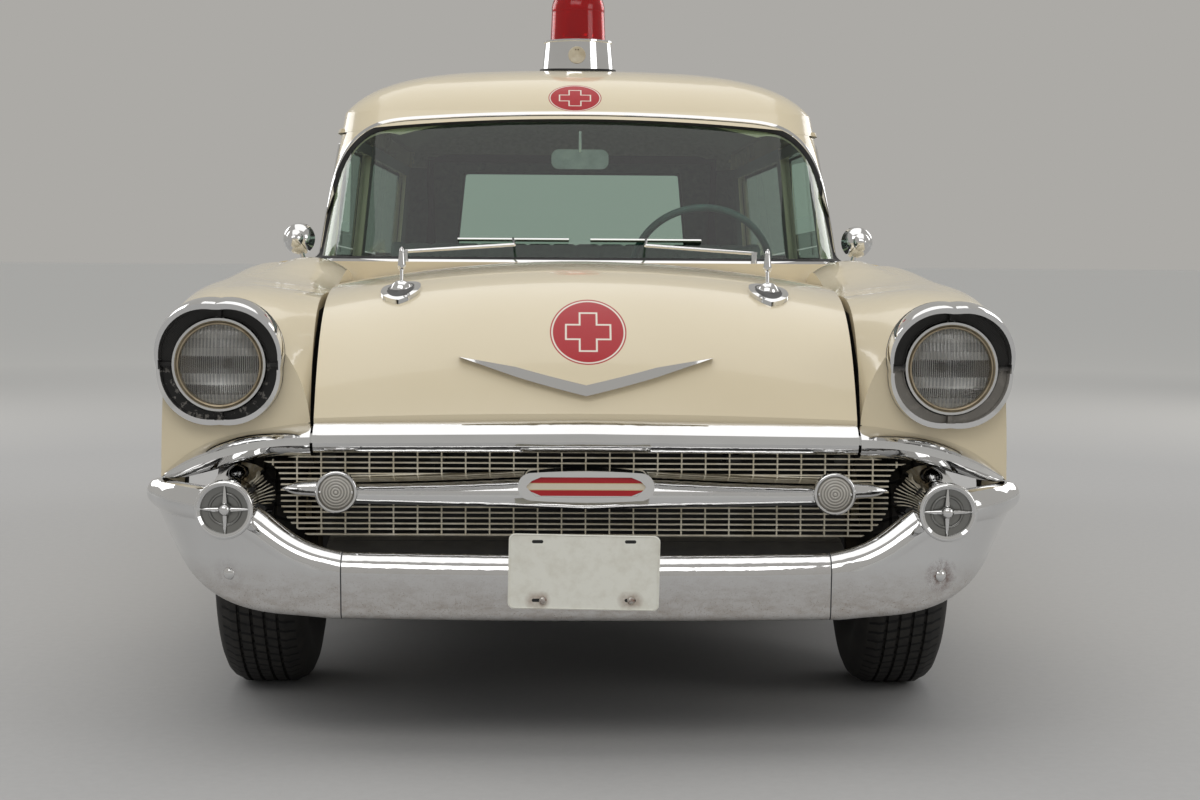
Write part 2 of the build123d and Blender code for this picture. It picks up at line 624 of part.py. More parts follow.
def bumper_face(index):
    """Section square to the plan line: rolled top, crease, tucked face, turned lower edge."""
    x, back, top, crease, foot, low, tuck, bulge, depth = BUMPER[index]
    before = BUMPER[max(index - 1, 0)]
    after = BUMPER[min(index + 1, len(BUMPER) - 1)]
    along = Vector(after[0] - before[0], after[1] - before[1], 0).normalized()
    if index == 0:
        along = Vector(1, 0, 0)
    outward = Vector(along.Y, -along.X, 0)
    plane = Plane(origin=(x, BUMPER_Y + back, 0), x_dir=outward, z_dir=-along)
    wall = BUMPER_WALL
    rows = [
        (-depth, top),
        (0, crease, bulge - depth * 0.34, top - (top - crease) * 0.16),
        (-tuck, foot),
        (-tuck - 26, low, -tuck - 7, low + (foot - low) * 0.2),
        (-tuck - 28, low + wall),
        (-tuck - wall, foot + 4, -tuck - wall - 7, low + wall + (foot - low) * 0.3),
        (-wall, crease - 4),
        (-depth, top - wall, bulge - depth * 0.34 - wall, top - (top - crease) * 0.16 - wall),
    ]
    return plane * outline(rows)


bumper_faces = [bumper_face(index) for index in range(len(BUMPER))]
bumper_half = loft(bumper_faces[:JOINT_INDEX + 1]) + loft(bumper_faces[JOINT_INDEX:])
FRAME_FRONT_Y = FENDER_FRONT_Y + 5
bumper_iron = box(372, 428, BUMPER_Y + 20, FRAME_FRONT_Y - SEAT_GAP, 312, 370)
PLATE_HOLE_PITCH = 177.8
PLATE_HOLE_R = 3.2
PLATE_HOLE_Z = 330
plate_bar = box(-108, 108, BUMPER_Y, BUMPER_Y + 8, PLATE_HOLE_Z - 13, PLATE_HOLE_Z + 13)
front_bumper = bumper_half + mirror_x(bumper_half) + bumper_iron + mirror_x(bumper_iron) + plate_bar
for side in (1, -1):
    front_bumper = front_bumper - cyl_y(
        side * PLATE_HOLE_PITCH / 2, BUMPER_Y - 5, BUMPER_Y + BUMPER_T + 5, PLATE_HOLE_Z, PLATE_HOLE_R)

# Round guard ends with spoked faces
PORT_X = 724
PORT_Z = 513
PORT_R = 59
PORT_Y = FRONT_Y + 4
PORT_END_Y = FENDER_FRONT_Y - 4 - SEAT_GAP
PORT_FLARE_R = 69
PORT_LENGTH = PORT_END_Y - PORT_Y


def port_tube(grow):
    """Outer line of the guard's tube behind its ring, widened by a gap."""
    return [(53 + grow, 26), (52 + grow, 120), (PORT_FLARE_R + grow, PORT_LENGTH, 56 + grow, 190)]


port = revolve_y([
    (0.1, PORT_LENGTH), (0.1, 20), (47, 14), (48, 2), (53, -2), (PORT_R, 4, PORT_R - 2, -1), (PORT_R, 22)]
    + port_tube(0), PORT_X, PORT_Y, PORT_Z)
port_room = revolve_y([(0.1, PORT_LENGTH), (0.1, 26)] + port_tube(SEAT_GAP), PORT_X, PORT_Y, PORT_Z)
front_bumper = front_bumper - port_room - mirror_x(port_room)
save("front_bumper", front_bumper)
for turn in (0, 90, 180, 270):
    spoke = Pos(PORT_X, PORT_Y + 13, PORT_Z) * Rot(0, turn, 0) * Pos(0, 0, 30) * Cone(6, 2.4, 40)
    port = port + spoke
port = port + Pos(PORT_X, PORT_Y + 15, PORT_Z) * Rot(90, 0, 0) * Torus(31, 3)
port = port + Pos(PORT_X, FRONT_Y + 13, PORT_Z) * Sphere(13)
save("bumper_guards", both(port))

# Grille: surround, mesh, bar and tray
GRILLE_Y = FENDER_FRONT_Y - 4
HEADER_Y = HOOD_FRONT_Y - 42


def rolled_face(x, front_y, back_y, low, top):
    """Section of a bright bar: rounded foot, upright band and a hollow upper slope."""
    tall = top - low
    deep = back_y - front_y
    rows = [
        (back_y, low),
        (front_y, low + tall * 0.32, front_y + deep * 0.18, low + tall * 0.08),
        (front_y, low + tall * 0.60),
        (back_y, top, front_y + deep * 0.42, top - tall * 0.15),
    ]
    return Plane.YZ.offset(x) * outline(rows)


HEADER_BACK_Y = HOOD_FRONT_Y - RUN_GAP
header_half = loft([
    rolled_face(0, HEADER_Y - 8, HEADER_BACK_Y, 613, 677), rolled_face(290, HEADER_Y - 6, HEADER_BACK_Y, 612, 673),
    rolled_face(572, HEADER_Y, HEADER_BACK_Y, 610, 669)])
# columns: x, distance ahead of the fender, low z, top z
MOULDING = [
    (578, 62, 604, 666), (640, 60, 604, 660), (700, 56, 596, 650), (760, 50, 579, 637), (815, 40, 562, 616),
    (856, 28, 552, 590), (889, 14, 550, 562)]
moulding = loft([
    rolled_face(x, FENDER_FRONT_Y - ahead, FENDER_FRONT_Y - SEAT_GAP, low, top) for x, ahead, low, top in MOULDING])
tie_bar = box(-579, 579, HOOD_FRONT_Y - RUN_GAP - 20, FENDER_FRONT_Y - 8, 628, 648)
save("grille_surround", header_half + mirror_x(header_half) + tie_bar + moulding + mirror_x(moulding))

MESH_HALF = 735
MESH_LOW_Z = 428
MESH_TOP_Z = 606
MESH_PITCH_Z = 11.8
MESH_PITCH_X = 51
MESH_BAR = 3
rows_count = int((MESH_TOP_Z - MESH_LOW_Z) / MESH_PITCH_Z)
columns_count = int(MESH_HALF / MESH_PITCH_X)
mesh_bars = []
for i in range(rows_count + 1):
    z = MESH_LOW_Z + i * MESH_PITCH_Z
    mesh_bars.append(box(-MESH_HALF, MESH_HALF, GRILLE_Y, GRILLE_Y + 10, z, z + MESH_BAR))
uprights = []
for i in range(-columns_count, columns_count + 1):
    x = i * MESH_PITCH_X
    uprights.append(box(x - 1.5, x + 1.5, GRILLE_Y + 2, GRILLE_Y + 12, MESH_LOW_Z, MESH_TOP_Z))
mesh_outline = front_prism([
    (-520, MESH_LOW_Z - 5), (520, MESH_LOW_Z - 5), (646, 492, 610, 440), (646, 540), (690, 585, 655, 568),
    (575, 601), (570, 608), (-570, 608), (-575, 601), (-690, 585), (-646, 540, -655, 568), (-646, 492),
    (-520, MESH_LOW_Z - 5, -610, 440)], GRILLE_Y - 5, GRILLE_Y + 20)
mesh = mesh_bars[0].fuse(*mesh_bars[1:], *uprights) & mesh_outline
save("grille_mesh", mesh)

PARK_X = 522
PARK_Z = 527
BAR_BACK_Y = GRILLE_Y - SEAT_GAP


def bar_face(x, ahead, low, top):
    """Section of the cross bar: upright band under a long upper slope."""
    rows = [
        (BAR_BACK_Y, low + 4),
        (GRILLE_Y - ahead, low),
        (GRILLE_Y - ahead - 4, low + (top - low) * 0.5, GRILLE_Y - ahead - 4, low + (top - low) * 0.2),
        (BAR_BACK_Y, top, GRILLE_Y - ahead * 0.6, low + (top - low) * 0.8),
    ]
    return Plane.YZ.offset(x) * outline(rows)


bar_half = loft([bar_face(0, 54, 492, 574), bar_face(250, 51, 497, 562), bar_face(PARK_X - 6, 48, 502, 556)])
EMBLEM_Z = 541
emblem_rows = [(-143, 0), (-116, -29, -136, -19), (116, -29, 0, -33), (143, 0, 136, -19), (116, 29, 136, 19),
               (-116, 29, 0, 33), (-143, 0, -136, 19)]
emblem = front_prism([(row[0], row[1] + EMBLEM_Z) + ((row[2], row[3] + EMBLEM_Z) if len(row) == 4 else ())
                      for row in emblem_rows[1:]], GRILLE_Y - 74, BAR_BACK_Y)
emblem_field = front_prism([(-126, EMBLEM_Z), (-106, EMBLEM_Z - 20), (106, EMBLEM_Z - 20, 0, EMBLEM_Z - 23),
                            (126, EMBLEM_Z), (106, EMBLEM_Z + 20), (-106, EMBLEM_Z + 20, 0, EMBLEM_Z + 23)],
                           GRILLE_Y - 80, GRILLE_Y - 69)
POD_R = 44.5
POD_Y = GRILLE_Y - 70
pod = revolve_y([
    (0.1, 66), (0.1, 14), (38.2, 14), (38.2, 1), (42, 0), (POD_R, 4, POD_R - 1, 1), (POD_R, 16), (41, 20),
    (37, 66, 40, 44)], PARK_X, POD_Y, PARK_Z)
pod_point = revolve_x([(0.1, 0), (19, 0), (17, 62, 19.5, 30), (0.1, 118, 11, 96)], PARK_X, GRILLE_Y - 24, PARK_Z + 3)
side_parts = pod + pod_point - front_prism([(0, 0), (1000, 0), (1000, 1000), (0, 1000)], BAR_BACK_Y, 0)
side_parts = side_parts - cyl_y(PARK_X, POD_Y - 5, POD_Y + 14, PARK_Z, 38.2)
grille_bar = bar_half + mirror_x(bar_half) + (emblem - emblem_field) + side_parts + mirror_x(side_parts)
park_bore = cyl_y(PARK_X, POD_Y - 30, POD_Y + 14, PARK_Z, 38.2)
grille_bar = grille_bar - park_bore - mirror_x(park_bore)
save("grille_bar", grille_bar)

TRAY_BACK_Y = GRILLE_Y + 30
tray = side_prism([
    (BUMPER_Y + 48, BUMPER_TOP_Z - BUMPER_WALL - 14),
    (TRAY_BACK_Y, 408),
    (TRAY_BACK_Y, MESH_LOW_Z - SEAT_GAP),
    (TRAY_BACK_Y - 52, MESH_LOW_Z - SEAT_GAP),
    (BUMPER_Y + 73, 403),
    (BUMPER_Y + 72, BUMPER_TOP_Z - BUMPER_WALL - SEAT_GAP),
    (BUMPER_Y + 48, BUMPER_TOP_Z - BUMPER_WALL - SEAT_GAP),
], -540, 540)
for ahead in (48, 78, 108):
    tray = tray - cyl_x(-560, 560, TRAY_BACK_Y - 30 - ahead, 436 - ahead * 0.11, 9)
for side in (1, -1):
    for y in (GRILLE_Y - 90, GRILLE_Y - 40):
        tray = tray + box(side * 405 - 16, side * 405 + 16, y, y + 16, 373, 412)
save("gravel_pan", tray)

# Headlamps
BEZEL_BACK_Y = FENDER_FRONT_Y - SEAT_GAP
BEZEL_W = 131
BEZEL_TOP = 140
BEZEL_LOW = 127


def bezel_rows(side_in, top_in, low_in):
    """Rounded outline with a slight peak at the top, drawn in by the given amounts."""
    w = BEZEL_W - side_in
    top = BEZEL_TOP - top_in
    low = BEZEL_LOW - low_in
    rows = [
        (w, -6), (0, top, w * 0.80, top * 0.74), (-w, -6, -w * 0.80, top * 0.74),
        (0, -low, -w * 0.76, -low * 0.74), (w, -6, w * 0.76, -low * 0.74)]
    placed = []
    for row in rows:
        placed.append(tuple(value + (HEADLAMP_X, HEADLAMP_Z)[i % 2] for i, value in enumerate(row)))
    return placed


def bezel_face(y, inset):
    return Plane.XZ.offset(-y) * outline(bezel_rows(inset, inset * 1.2, inset))


bezel = loft([bezel_face(BEZEL_BACK_Y, 0), bezel_face(FENDER_FRONT_Y - 30, 1), bezel_face(FENDER_FRONT_Y - 84, 14)])
bezel = bezel & side_prism([
    (BEZEL_BACK_Y, 600), (FENDER_FRONT_Y - 26, 600), (FENDER_FRONT_Y - 34, 700),
    (FENDER_FRONT_Y - 76, 925, FENDER_FRONT_Y - 46, 830), (BEZEL_BACK_Y, 960)], 500, 1000)
BEZEL_PLATE_Y = FENDER_FRONT_Y - 8
bezel = bezel - front_prism(bezel_rows(9, 25, 13), FENDER_FRONT_Y - 100, BEZEL_PLATE_Y)
ring = revolve_y([(90, 4), (93, 0), (98, 0), (101, 4), (101, 26), (90, 26)], HEADLAMP_X, FENDER_FRONT_Y - 32, HEADLAMP_Z)
tabs = []
for turn, reach in ((0, 120), (90, 124), (180, 116), (270, 124)):
    tab = Pos(0, 0, (98 + reach) / 2) * Box(9, 10, reach - 98)
    tabs.append(Pos(HEADLAMP_X, FENDER_FRONT_Y - 16, HEADLAMP_Z) * Rot(0, turn, 0) * tab)
bezel = bezel.fuse(ring, *tabs)
bezel = bezel - cyl_y(HEADLAMP_X, FENDER_FRONT_Y - 60, FENDER_FRONT_Y + 10, HEADLAMP_Z, 90)
save("headlamps", both(bezel))
lamp_glass = revolve_y([(0.1, -22), (83, 0, 48, -16), (89.7, 3), (89.7, 50), (0.1, 100, 60, 88)],
                       HEADLAMP_X, FENDER_FRONT_Y - 16, HEADLAMP_Z)
park_glass = revolve_y([(0.1, -4), (30, -1, 16, -3.4), (37.9, 6), (37.9, 12), (0.1, 12)],
                       PARK_X, POD_Y + 1.7, PARK_Z)
save("headlamp_glass", both(lamp_glass), both(park_glass))

# Beacon
BEACON_Y = PILLAR_Y + 465
BEACON_BASE_R = 114
beacon_seat_z = 1596
base = revolve_z([(0.1, 0), (BEACON_BASE_R, 0), (104, 100), (60, 100), (60, 30), (0.1, 30)], 0, BEACON_Y, beacon_seat_z)
save("beacon_base", base - roof)
DOME_R = 87
DOME_H = 168
dome_out = [(0.1, 0), (DOME_R, 0), (DOME_R - 4, 90), (0.1, DOME_H, 62, 150)]
dome_in = [(0.1, -1), (DOME_R - 5, -1), (DOME_R - 9, 88), (0.1, DOME_H - 5, 58, 146)]
dome = revolve_z(dome_out, 0, BEACON_Y, beacon_seat_z + 100) - revolve_z(dome_in, 0, BEACON_Y, beacon_seat_z + 100)
save("beacon_dome", dome)
rotor = cyl_z(0, BEACON_Y, beacon_seat_z + 30 + SEAT_GAP, beacon_seat_z + 120, 12) + cyl_z(
    0, BEACON_Y, beacon_seat_z + 114, beacon_seat_z + 122, 50)
rotor = rotor + cyl_y(0, BEACON_Y - 44, BEACON_Y - 14, beacon_seat_z + 160, 38) + cyl_y(
    0, BEACON_Y + 14, BEACON_Y + 44, beacon_seat_z + 160, 38) + box(
    -10, 10, BEACON_Y - 20, BEACON_Y + 20, beacon_seat_z + 120, beacon_seat_z + 165)
save("beacon_rotor", rotor)

# Wheels and tyres
TYRE_INNER_R = RIM_D / 2 - 8
tyre_profile = [
    (TYRE_INNER_R, -70),
    (TYRE_D / 2 - 12, -82, TYRE_D / 2 - 78, -TYRE_W / 2),
    (TYRE_D / 2, -60),
    (TYRE_D / 2, 60),
    (TYRE_D / 2 - 12, 82),
    (TYRE_INNER_R, 70, TYRE_D / 2 - 78, TYRE_W / 2),
]
rim_profile = [
    (TYRE_INNER_R - SEAT_GAP, -72),
    (TYRE_INNER_R - SEAT_GAP, 72),
    (TYRE_INNER_R - 14, 72),
    (TYRE_INNER_R - 30, 30),
    (120, 22),
    (60, 66, 90, 58),
    (0.1, 74, 30, 73),
    (0.1, 62),
    (50, 55),
    (80, 20),
    (HUB_R + 16, 8),
    (HUB_R + 16, -30),
    (140, -30),
    (140, 6),
    (TYRE_INNER_R - 24, 8),
    (TYRE_INNER_R - 12, -72),
]
SPINDLE_R = 18
SPINDLE_GAP = 0.05
HUB_FACE = 30
wheel_bore = [(0.1, -120), (SPINDLE_R + SPINDLE_GAP, -120), (SPINDLE_R + SPINDLE_GAP, 20), (0.1, 20)]
hub_profile = [(0.1, -HUB_FACE), (HUB_R + 17, -HUB_FACE), (HUB_R + 17, 10), (0.1, 40)]


def wheel_set(name, x, y):
    tyre = revolve_x(tyre_profile, x, y, AXLE_Z)
    rim = revolve_x(rim_profile, x, y, AXLE_Z) + revolve_x(hub_profile, x, y, AXLE_Z)
    rim = rim - revolve_x(wheel_bore, x, y, AXLE_Z)
    return tyre, rim


for end, y, track in (("front", FRONT_AXLE_Y, TRACK_FRONT), ("rear", REAR_AXLE_Y, TRACK_REAR)):
    tyre, rim = wheel_set(end, track / 2, y)
    save(f"tyre_{end}_left", tyre)
    save(f"wheel_{end}_left", rim)
    save(f"tyre_{end}_right", mirror_x(tyre))
    save(f"wheel_{end}_right", mirror_x(rim))

# Knuckles with spindles
KING_X = TRACK_FRONT / 2 - 90
spindle_end = TRACK_FRONT / 2 + 10
knuckle = cyl_x(KING_X - 10, spindle_end, FRONT_AXLE_Y, AXLE_Z, SPINDLE_R)
knuckle = knuckle + cyl_x(KING_X - 12, KING_X + 22, FRONT_AXLE_Y, AXLE_Z, 46)
knuckle = knuckle + cyl_z(KING_X - 12, FRONT_AXLE_Y, AXLE_Z - 90, AXLE_Z + 90, 16)
knuckle = knuckle + box(KING_X - 24, KING_X, FRONT_AXLE_Y, FRONT_AXLE_Y + 130, AXLE_Z - 50, AXLE_Z - 34)
save("knuckle_left", knuckle)
save("knuckle_right", mirror_x(knuckle))

# Frame with front suspension arms
RAIL_X = 400
FRAME_REAR_Y = GATE_Y - 30
frame_parts = []
for side in (1, -1):
    frame_parts.append(side_prism([
        (FRAME_FRONT_Y, 305), (REAR_AXLE_Y - 495, 305), (REAR_AXLE_Y - 255, 480), (FRAME_REAR_Y, 480),
        (FRAME_REAR_Y, LOAD_Z - SEAT_GAP), (REAR_AXLE_Y - 285, LOAD_Z - SEAT_GAP),
        (REAR_AXLE_Y - 525, RAIL_TOP_Z), (FRAME_FRONT_Y, RAIL_TOP_Z)],
        side * RAIL_X - 38, side * RAIL_X + 38))
frame = frame_parts[0] + frame_parts[1]
CROSS_LOW_Z = 304
TANK_TOP_Z = 487.7
TANK_FRONT_Y = REAR_AXLE_Y + REAR_OVERHANG * 0.34
RADIATOR_Y = FENDER_FRONT_Y + 145
# columns: y, low z, top z
for y, low, top in (
        (RADIATOR_Y, CROSS_LOW_Z, ENGINE_Z), (FRONT_AXLE_Y + 475, CROSS_LOW_Z, ENGINE_Z),
        (DOOR_REAR_Y - 600, CROSS_LOW_Z, ENGINE_Z), (REAR_AXLE_Y - 595, CROSS_LOW_Z, ENGINE_Z),
        (TANK_FRONT_Y + 15, TANK_TOP_Z + SEAT_GAP, 550), (GATE_Y - 90, TANK_TOP_Z + SEAT_GAP, 550)):
    frame = frame + box(-RAIL_X, RAIL_X, y - 40, y + 40, low, top)
SPRING_X = 510
SPRING_SPAN = REAR_OVERHANG * 0.493
for side in (1, -1):
    low_x, high_x = sorted((side * RAIL_X, side * (SPRING_X + 25)))
    frame = frame + box(low_x, high_x, REAR_AXLE_Y - SPRING_SPAN - 30, REAR_AXLE_Y - SPRING_SPAN + 8, 345, 377.2)
    frame = frame + box(low_x, high_x, REAR_AXLE_Y + SPRING_SPAN - 40, REAR_AXLE_Y + SPRING_SPAN, 424.5, 500)
crossmember = box(-RAIL_X, RAIL_X, FRONT_AXLE_Y - 70, FRONT_AXLE_Y + 70, 250, ENGINE_Z)
frame = frame + crossmember
for side in (1, -1):
    for z, reach in ((AXLE_Z - 112, 20), (AXLE_Z + 112, 20)):
        inner = side * (RAIL_X + 10)
        outer = side * (KING_X - 12)
        frame = frame + rod((inner, FRONT_AXLE_Y - 90, z), (outer, FRONT_AXLE_Y, z), 14)
        frame = frame + rod((inner, FRONT_AXLE_Y + 90, z), (outer, FRONT_AXLE_Y, z), 14)
        frame = frame + cyl_z(outer, FRONT_AXLE_Y, z - 21.5, z + 21.5, 24)
    tower = box(side * RAIL_X - 38, side * RAIL_X + 38, FRONT_AXLE_Y - 110, FRONT_AXLE_Y + 110, 210, 480)
    frame = frame + tower
save("frame", frame)

# Rear axle with leaf springs
tube_end = TRACK_REAR / 2 - HUB_FACE - 8
spindle_tip = TRACK_REAR / 2 + 10
axle_half = revolve_x([
    (0.1, 0), (135, 0), (40, 130, 110, 90), (38, tube_end), (SPINDLE_R, tube_end), (SPINDLE_R, spindle_tip),
    (0.1, spindle_tip)], 0, REAR_AXLE_Y, AXLE_Z)
axle = axle_half + mirror_x(axle_half)
save("rear_axle", axle)
springs = []
for side in (1, -1):
    x0 = side * SPRING_X - 25
    springs.append(side_prism([
        (REAR_AXLE_Y - SPRING_SPAN, 380), (REAR_AXLE_Y + SPRING_SPAN, 398, REAR_AXLE_Y, 276),
        (REAR_AXLE_Y + SPRING_SPAN, 424), (REAR_AXLE_Y - SPRING_SPAN, 406, REAR_AXLE_Y, 303.8)], x0, x0 + 50))
save("leaf_springs", springs)

# Engine with gearbox, radiator, exhaust, tank
ENGINE_SEAT_Z = ENGINE_Z + SEAT_GAP
ENGINE_REAR_Y = COWL_FRONT_Y - 397
engine = box(-260, 260, RADIATOR_Y + 100, ENGINE_REAR_Y, ENGINE_SEAT_Z, 800)
gearbox = box(-110, 110, ENGINE_REAR_Y - 1, COWL_FRONT_Y - 20, ENGINE_SEAT_Z, 560)
save("engine", engine + gearbox)
radiator = box(-330, 330, RADIATOR_Y - 5, RADIATOR_Y + 35, ENGINE_SEAT_Z, 790)
support = box(-590, 590, RADIATOR_Y - 15, RADIATOR_Y - 4, 570, 640)
for x in (-560, -330, 300, 530):
    support = support + box(x, x + 30, GRILLE_Y + 12 + SEAT_GAP, RADIATOR_Y - 4, 580, 600)
save("radiator", radiator + support)
EXHAUST_X = 250
EXHAUST_R = 24
exhaust_z = CROSS_LOW_Z - SEAT_GAP - EXHAUST_R
exhaust = cyl_y(EXHAUST_X, ENGINE_REAR_Y + 20, TAIL_Y - 500, exhaust_z, EXHAUST_R)
exhaust = exhaust + box(EXHAUST_X - 80, EXHAUST_X + 80, DOOR_REAR_Y - 400, DOOR_REAR_Y + 200, 215, exhaust_z + EXHAUST_R)
save("exhaust", exhaust)
save("fuel_tank", box(-340, 200, TANK_FRONT_Y, GATE_Y - 90, 270, TANK_TOP_Z))

# Rear bumper
rear_bumper = plan_prism([
    (0, REAR_Y), (700, REAR_Y - 20, 350, REAR_Y - 4), (930, REAR_Y - 160, 880, REAR_Y - 70), (890, REAR_Y - 160),
    (680, REAR_Y - 80, 840, REAR_Y - 110), (0, REAR_Y - 60)], 370, 510)
iron = box(372, 428, FRAME_REAR_Y + SEAT_GAP, REAR_Y - 59, 482, 508)
save("rear_bumper", rear_bumper + mirror_x(rear_bumper) + iron + mirror_x(iron))

# Tail lamps
tail_lamp = revolve_y([(0.1, 40), (44, 36), (50, 0), (0.1, 0)], 830, TAIL_Y + SEAT_GAP, 740)
save("tail_lamps", both(tail_lamp))

# Cabin
DASH_BACK_Y = COWL_FRONT_Y + 30
dash = side_prism([
    (DASH_BACK_Y, 700), (DASH_BACK_Y, BELT_Z - 51), (DASH_BACK_Y + 173, BELT_Z - 51),
    (DASH_BACK_Y + 273, 900, DASH_BACK_Y + 251, 940), (DASH_BACK_Y + 213, 760), (DASH_BACK_Y + 133, 700)], -700, 700)
STEER_X = 370
STEER_Y = DASH_BACK_Y + 473
STEER_Z = 985
COLUMN_R = 16
column_foot = (STEER_X, DASH_BACK_Y + 33, STEER_Z - 230)
column = rod((STEER_X, STEER_Y, STEER_Z), column_foot, COLUMN_R)
dash = dash - rod((STEER_X, STEER_Y, STEER_Z), column_foot, COLUMN_R + SEAT_GAP)
save("dashboard", dash)
STEER_TILT = math.degrees(math.atan2(440, 230))
rim = Pos(STEER_X, STEER_Y, STEER_Z) * Rot(-STEER_TILT + 180, 0, 0) * Torus(205, 11)
spoke = Pos(STEER_X, STEER_Y, STEER_Z) * Rot(-STEER_TILT + 180, 0, 0) * Box(400, 22, 12)
save("steering_wheel", rim + column + spoke)
SEAT_Y = DOOR_REAR_Y - 300
seat_base = side_prism([
    (SEAT_Y - 420, 400.3), (SEAT_Y - 420, 640), (SEAT_Y - 380, 690, SEAT_Y - 412, 680), (SEAT_Y + 60, 660),
    (SEAT_Y + 100, 400.3)], -640, 640)
seat_back = side_prism([
    (SEAT_Y + 20, 665), (SEAT_Y + 140, 1080), (SEAT_Y + 200, 1090, SEAT_Y + 175, 1105), (SEAT_Y + 210, 1040),
    (SEAT_Y + 110, 430), (SEAT_Y + 100, 430)], -640, 640)
save("seat", seat_base + seat_back)

WIPER_Y = PILLAR_Y - 402
wiper = []
for side in (1, -1):
    post = cyl_z(side * 480, WIPER_Y, BELT_Z + 4 + SEAT_GAP, BELT_Z + 36, 9)
    arm = rod((side * 480, WIPER_Y, BELT_Z + 32), (side * 180, WIPER_Y - 10, BELT_Z + 52), 5)
    wiper.append(post + arm)
save("wipers", wiper)

# Door mirrors
MIRROR_Z = 1067
MIRROR_X = 806
MIRROR_Y = PILLAR_Y - 110
mirror_head = revolve_y([(0.1, -64), (26, -40, 16, -56), (44, -10, 38, -28), (46, 4), (43, 4), (0.1, 1)],
                        0, 0, 0)
mirror_head = Pos(MIRROR_X, MIRROR_Y, MIRROR_Z) * Rot(0, 0, 14) * mirror_head
foot_z = BELT_Z - 8
mirror_stem = rod((786, MIRROR_Y, foot_z - 20), (MIRROR_X, MIRROR_Y - 14, MIRROR_Z - 6), 7)
mirror_foot = cyl_z(786, MIRROR_Y, foot_z - 14, foot_z + 8, 19)
mirror_stem = mirror_stem + mirror_foot
door_mirror = (mirror_head + mirror_stem) - door_left
save("door_mirror_left", door_mirror)
save("door_mirror_right", mirror_x(door_mirror))
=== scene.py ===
import json
import math
import bmesh
import bpy
import numpy
from mathutils import Matrix, Vector
from mathutils.bvhtree import BVHTree

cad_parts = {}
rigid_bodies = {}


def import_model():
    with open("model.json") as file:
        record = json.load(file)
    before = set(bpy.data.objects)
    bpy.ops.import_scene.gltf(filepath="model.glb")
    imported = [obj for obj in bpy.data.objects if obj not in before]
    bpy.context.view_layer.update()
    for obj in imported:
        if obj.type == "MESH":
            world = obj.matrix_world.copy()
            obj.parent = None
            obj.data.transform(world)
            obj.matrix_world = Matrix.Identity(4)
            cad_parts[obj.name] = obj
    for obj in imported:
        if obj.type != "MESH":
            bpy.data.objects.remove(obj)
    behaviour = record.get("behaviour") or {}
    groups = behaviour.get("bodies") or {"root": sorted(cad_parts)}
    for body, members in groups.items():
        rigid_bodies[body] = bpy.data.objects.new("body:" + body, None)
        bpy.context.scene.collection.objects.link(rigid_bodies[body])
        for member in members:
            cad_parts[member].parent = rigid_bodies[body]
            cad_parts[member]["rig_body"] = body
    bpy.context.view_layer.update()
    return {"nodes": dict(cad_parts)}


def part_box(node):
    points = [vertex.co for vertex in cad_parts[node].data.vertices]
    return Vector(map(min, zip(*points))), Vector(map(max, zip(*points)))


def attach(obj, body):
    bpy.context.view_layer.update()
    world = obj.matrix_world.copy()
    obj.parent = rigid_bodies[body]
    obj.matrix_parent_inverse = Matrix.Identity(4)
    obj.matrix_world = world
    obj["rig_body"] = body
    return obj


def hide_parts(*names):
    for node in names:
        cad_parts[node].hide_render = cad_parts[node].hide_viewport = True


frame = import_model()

SCENE = bpy.context.scene
NODES = frame["nodes"]

# Camera of the photograph
SENSOR_MM = 36
LENS_MM = 61.06
CAMERA_PLACE = Vector((-0.065, -6.610, 1.022))
CAMERA_YAW = -1.254
CAMERA_PITCH = -4.04
CAMERA_ROLL = 0.379


def make_camera():
    data = bpy.data.cameras.new("photo_camera")
    data.lens = LENS_MM
    data.sensor_width = SENSOR_MM
    camera = bpy.data.objects.new("photo_camera", data)
    turn = Matrix.Rotation(math.radians(CAMERA_YAW), 4, "Z")
    tilt = Matrix.Rotation(math.radians(90 + CAMERA_PITCH), 4, "X")
    roll = Matrix.Rotation(math.radians(CAMERA_ROLL), 4, "Z")
    camera.matrix_world = Matrix.Translation(CAMERA_PLACE) @ turn @ tilt @ roll
    SCENE.collection.objects.link(camera)
    SCENE.camera = camera


# Places on the vehicle, in metres
FENDER_FRONT_Y = -2.305
LAMP_X = 0.771
LAMP_Z = 0.790
BEZEL_PLATE_Y = FENDER_FRONT_Y - 0.008
APRON_X = 0.67
APRON_Z = 0.66
QUARTER_SKIN_X = 0.76
BELT_Z = 0.95
BODY_END_Y = 2.27
PARK_X = 0.522
PARK_Z = 0.527
PARK_FRONT_Y = -2.3793
EMBLEM_Z = 0.541
EMBLEM_FRONT_Y = -2.3812
EMBLEM_BACK_Y = -2.3700
IRON_X = 0.400
IRON_FRONT_Y = -2.500
IRON_TOP_Z = 0.3715
JOINT_X = 0.498
BOLT_X = 0.732
BOLT_Z = 0.369
PLATE_PLACE = (-0.006, -2.547, 0.387)
PLATE_W = 0.3048
PLATE_H = 0.1524
PLATE_HOLE_X = 0.0889
PLATE_HOLE_Z = 0.330
SIGHT_X = 0.414
SIGHT_Y = -2.010
WIPER_Z = 1.062
BADGE_Z = 1.6445
STRIP_Z = 0.79
TAIL_LAMP_X = 0.830
TAIL_LAMP_Z = 0.740
FRONT_AXLE_Y = -1.7255
REAR_AXLE_Y = 1.1955
AXLE_Z = 0.343
GUARD_X = 0.724
GUARD_Z = 0.513
GUARD_FACE_Y = -2.5715
VALANCE_X = 0.598
BAFFLE_Y = -2.161
BAFFLE_IN_X = 0.3305
BAFFLE_OUT_X = 0.574
BAFFLE_FOOT_Z = 0.345
BAFFLE_TOP_Z = 0.785
SEAL_GAP = 0.004
GASKET_REACH = 0.010
SEAT_HALF_WIDTH = 0.622
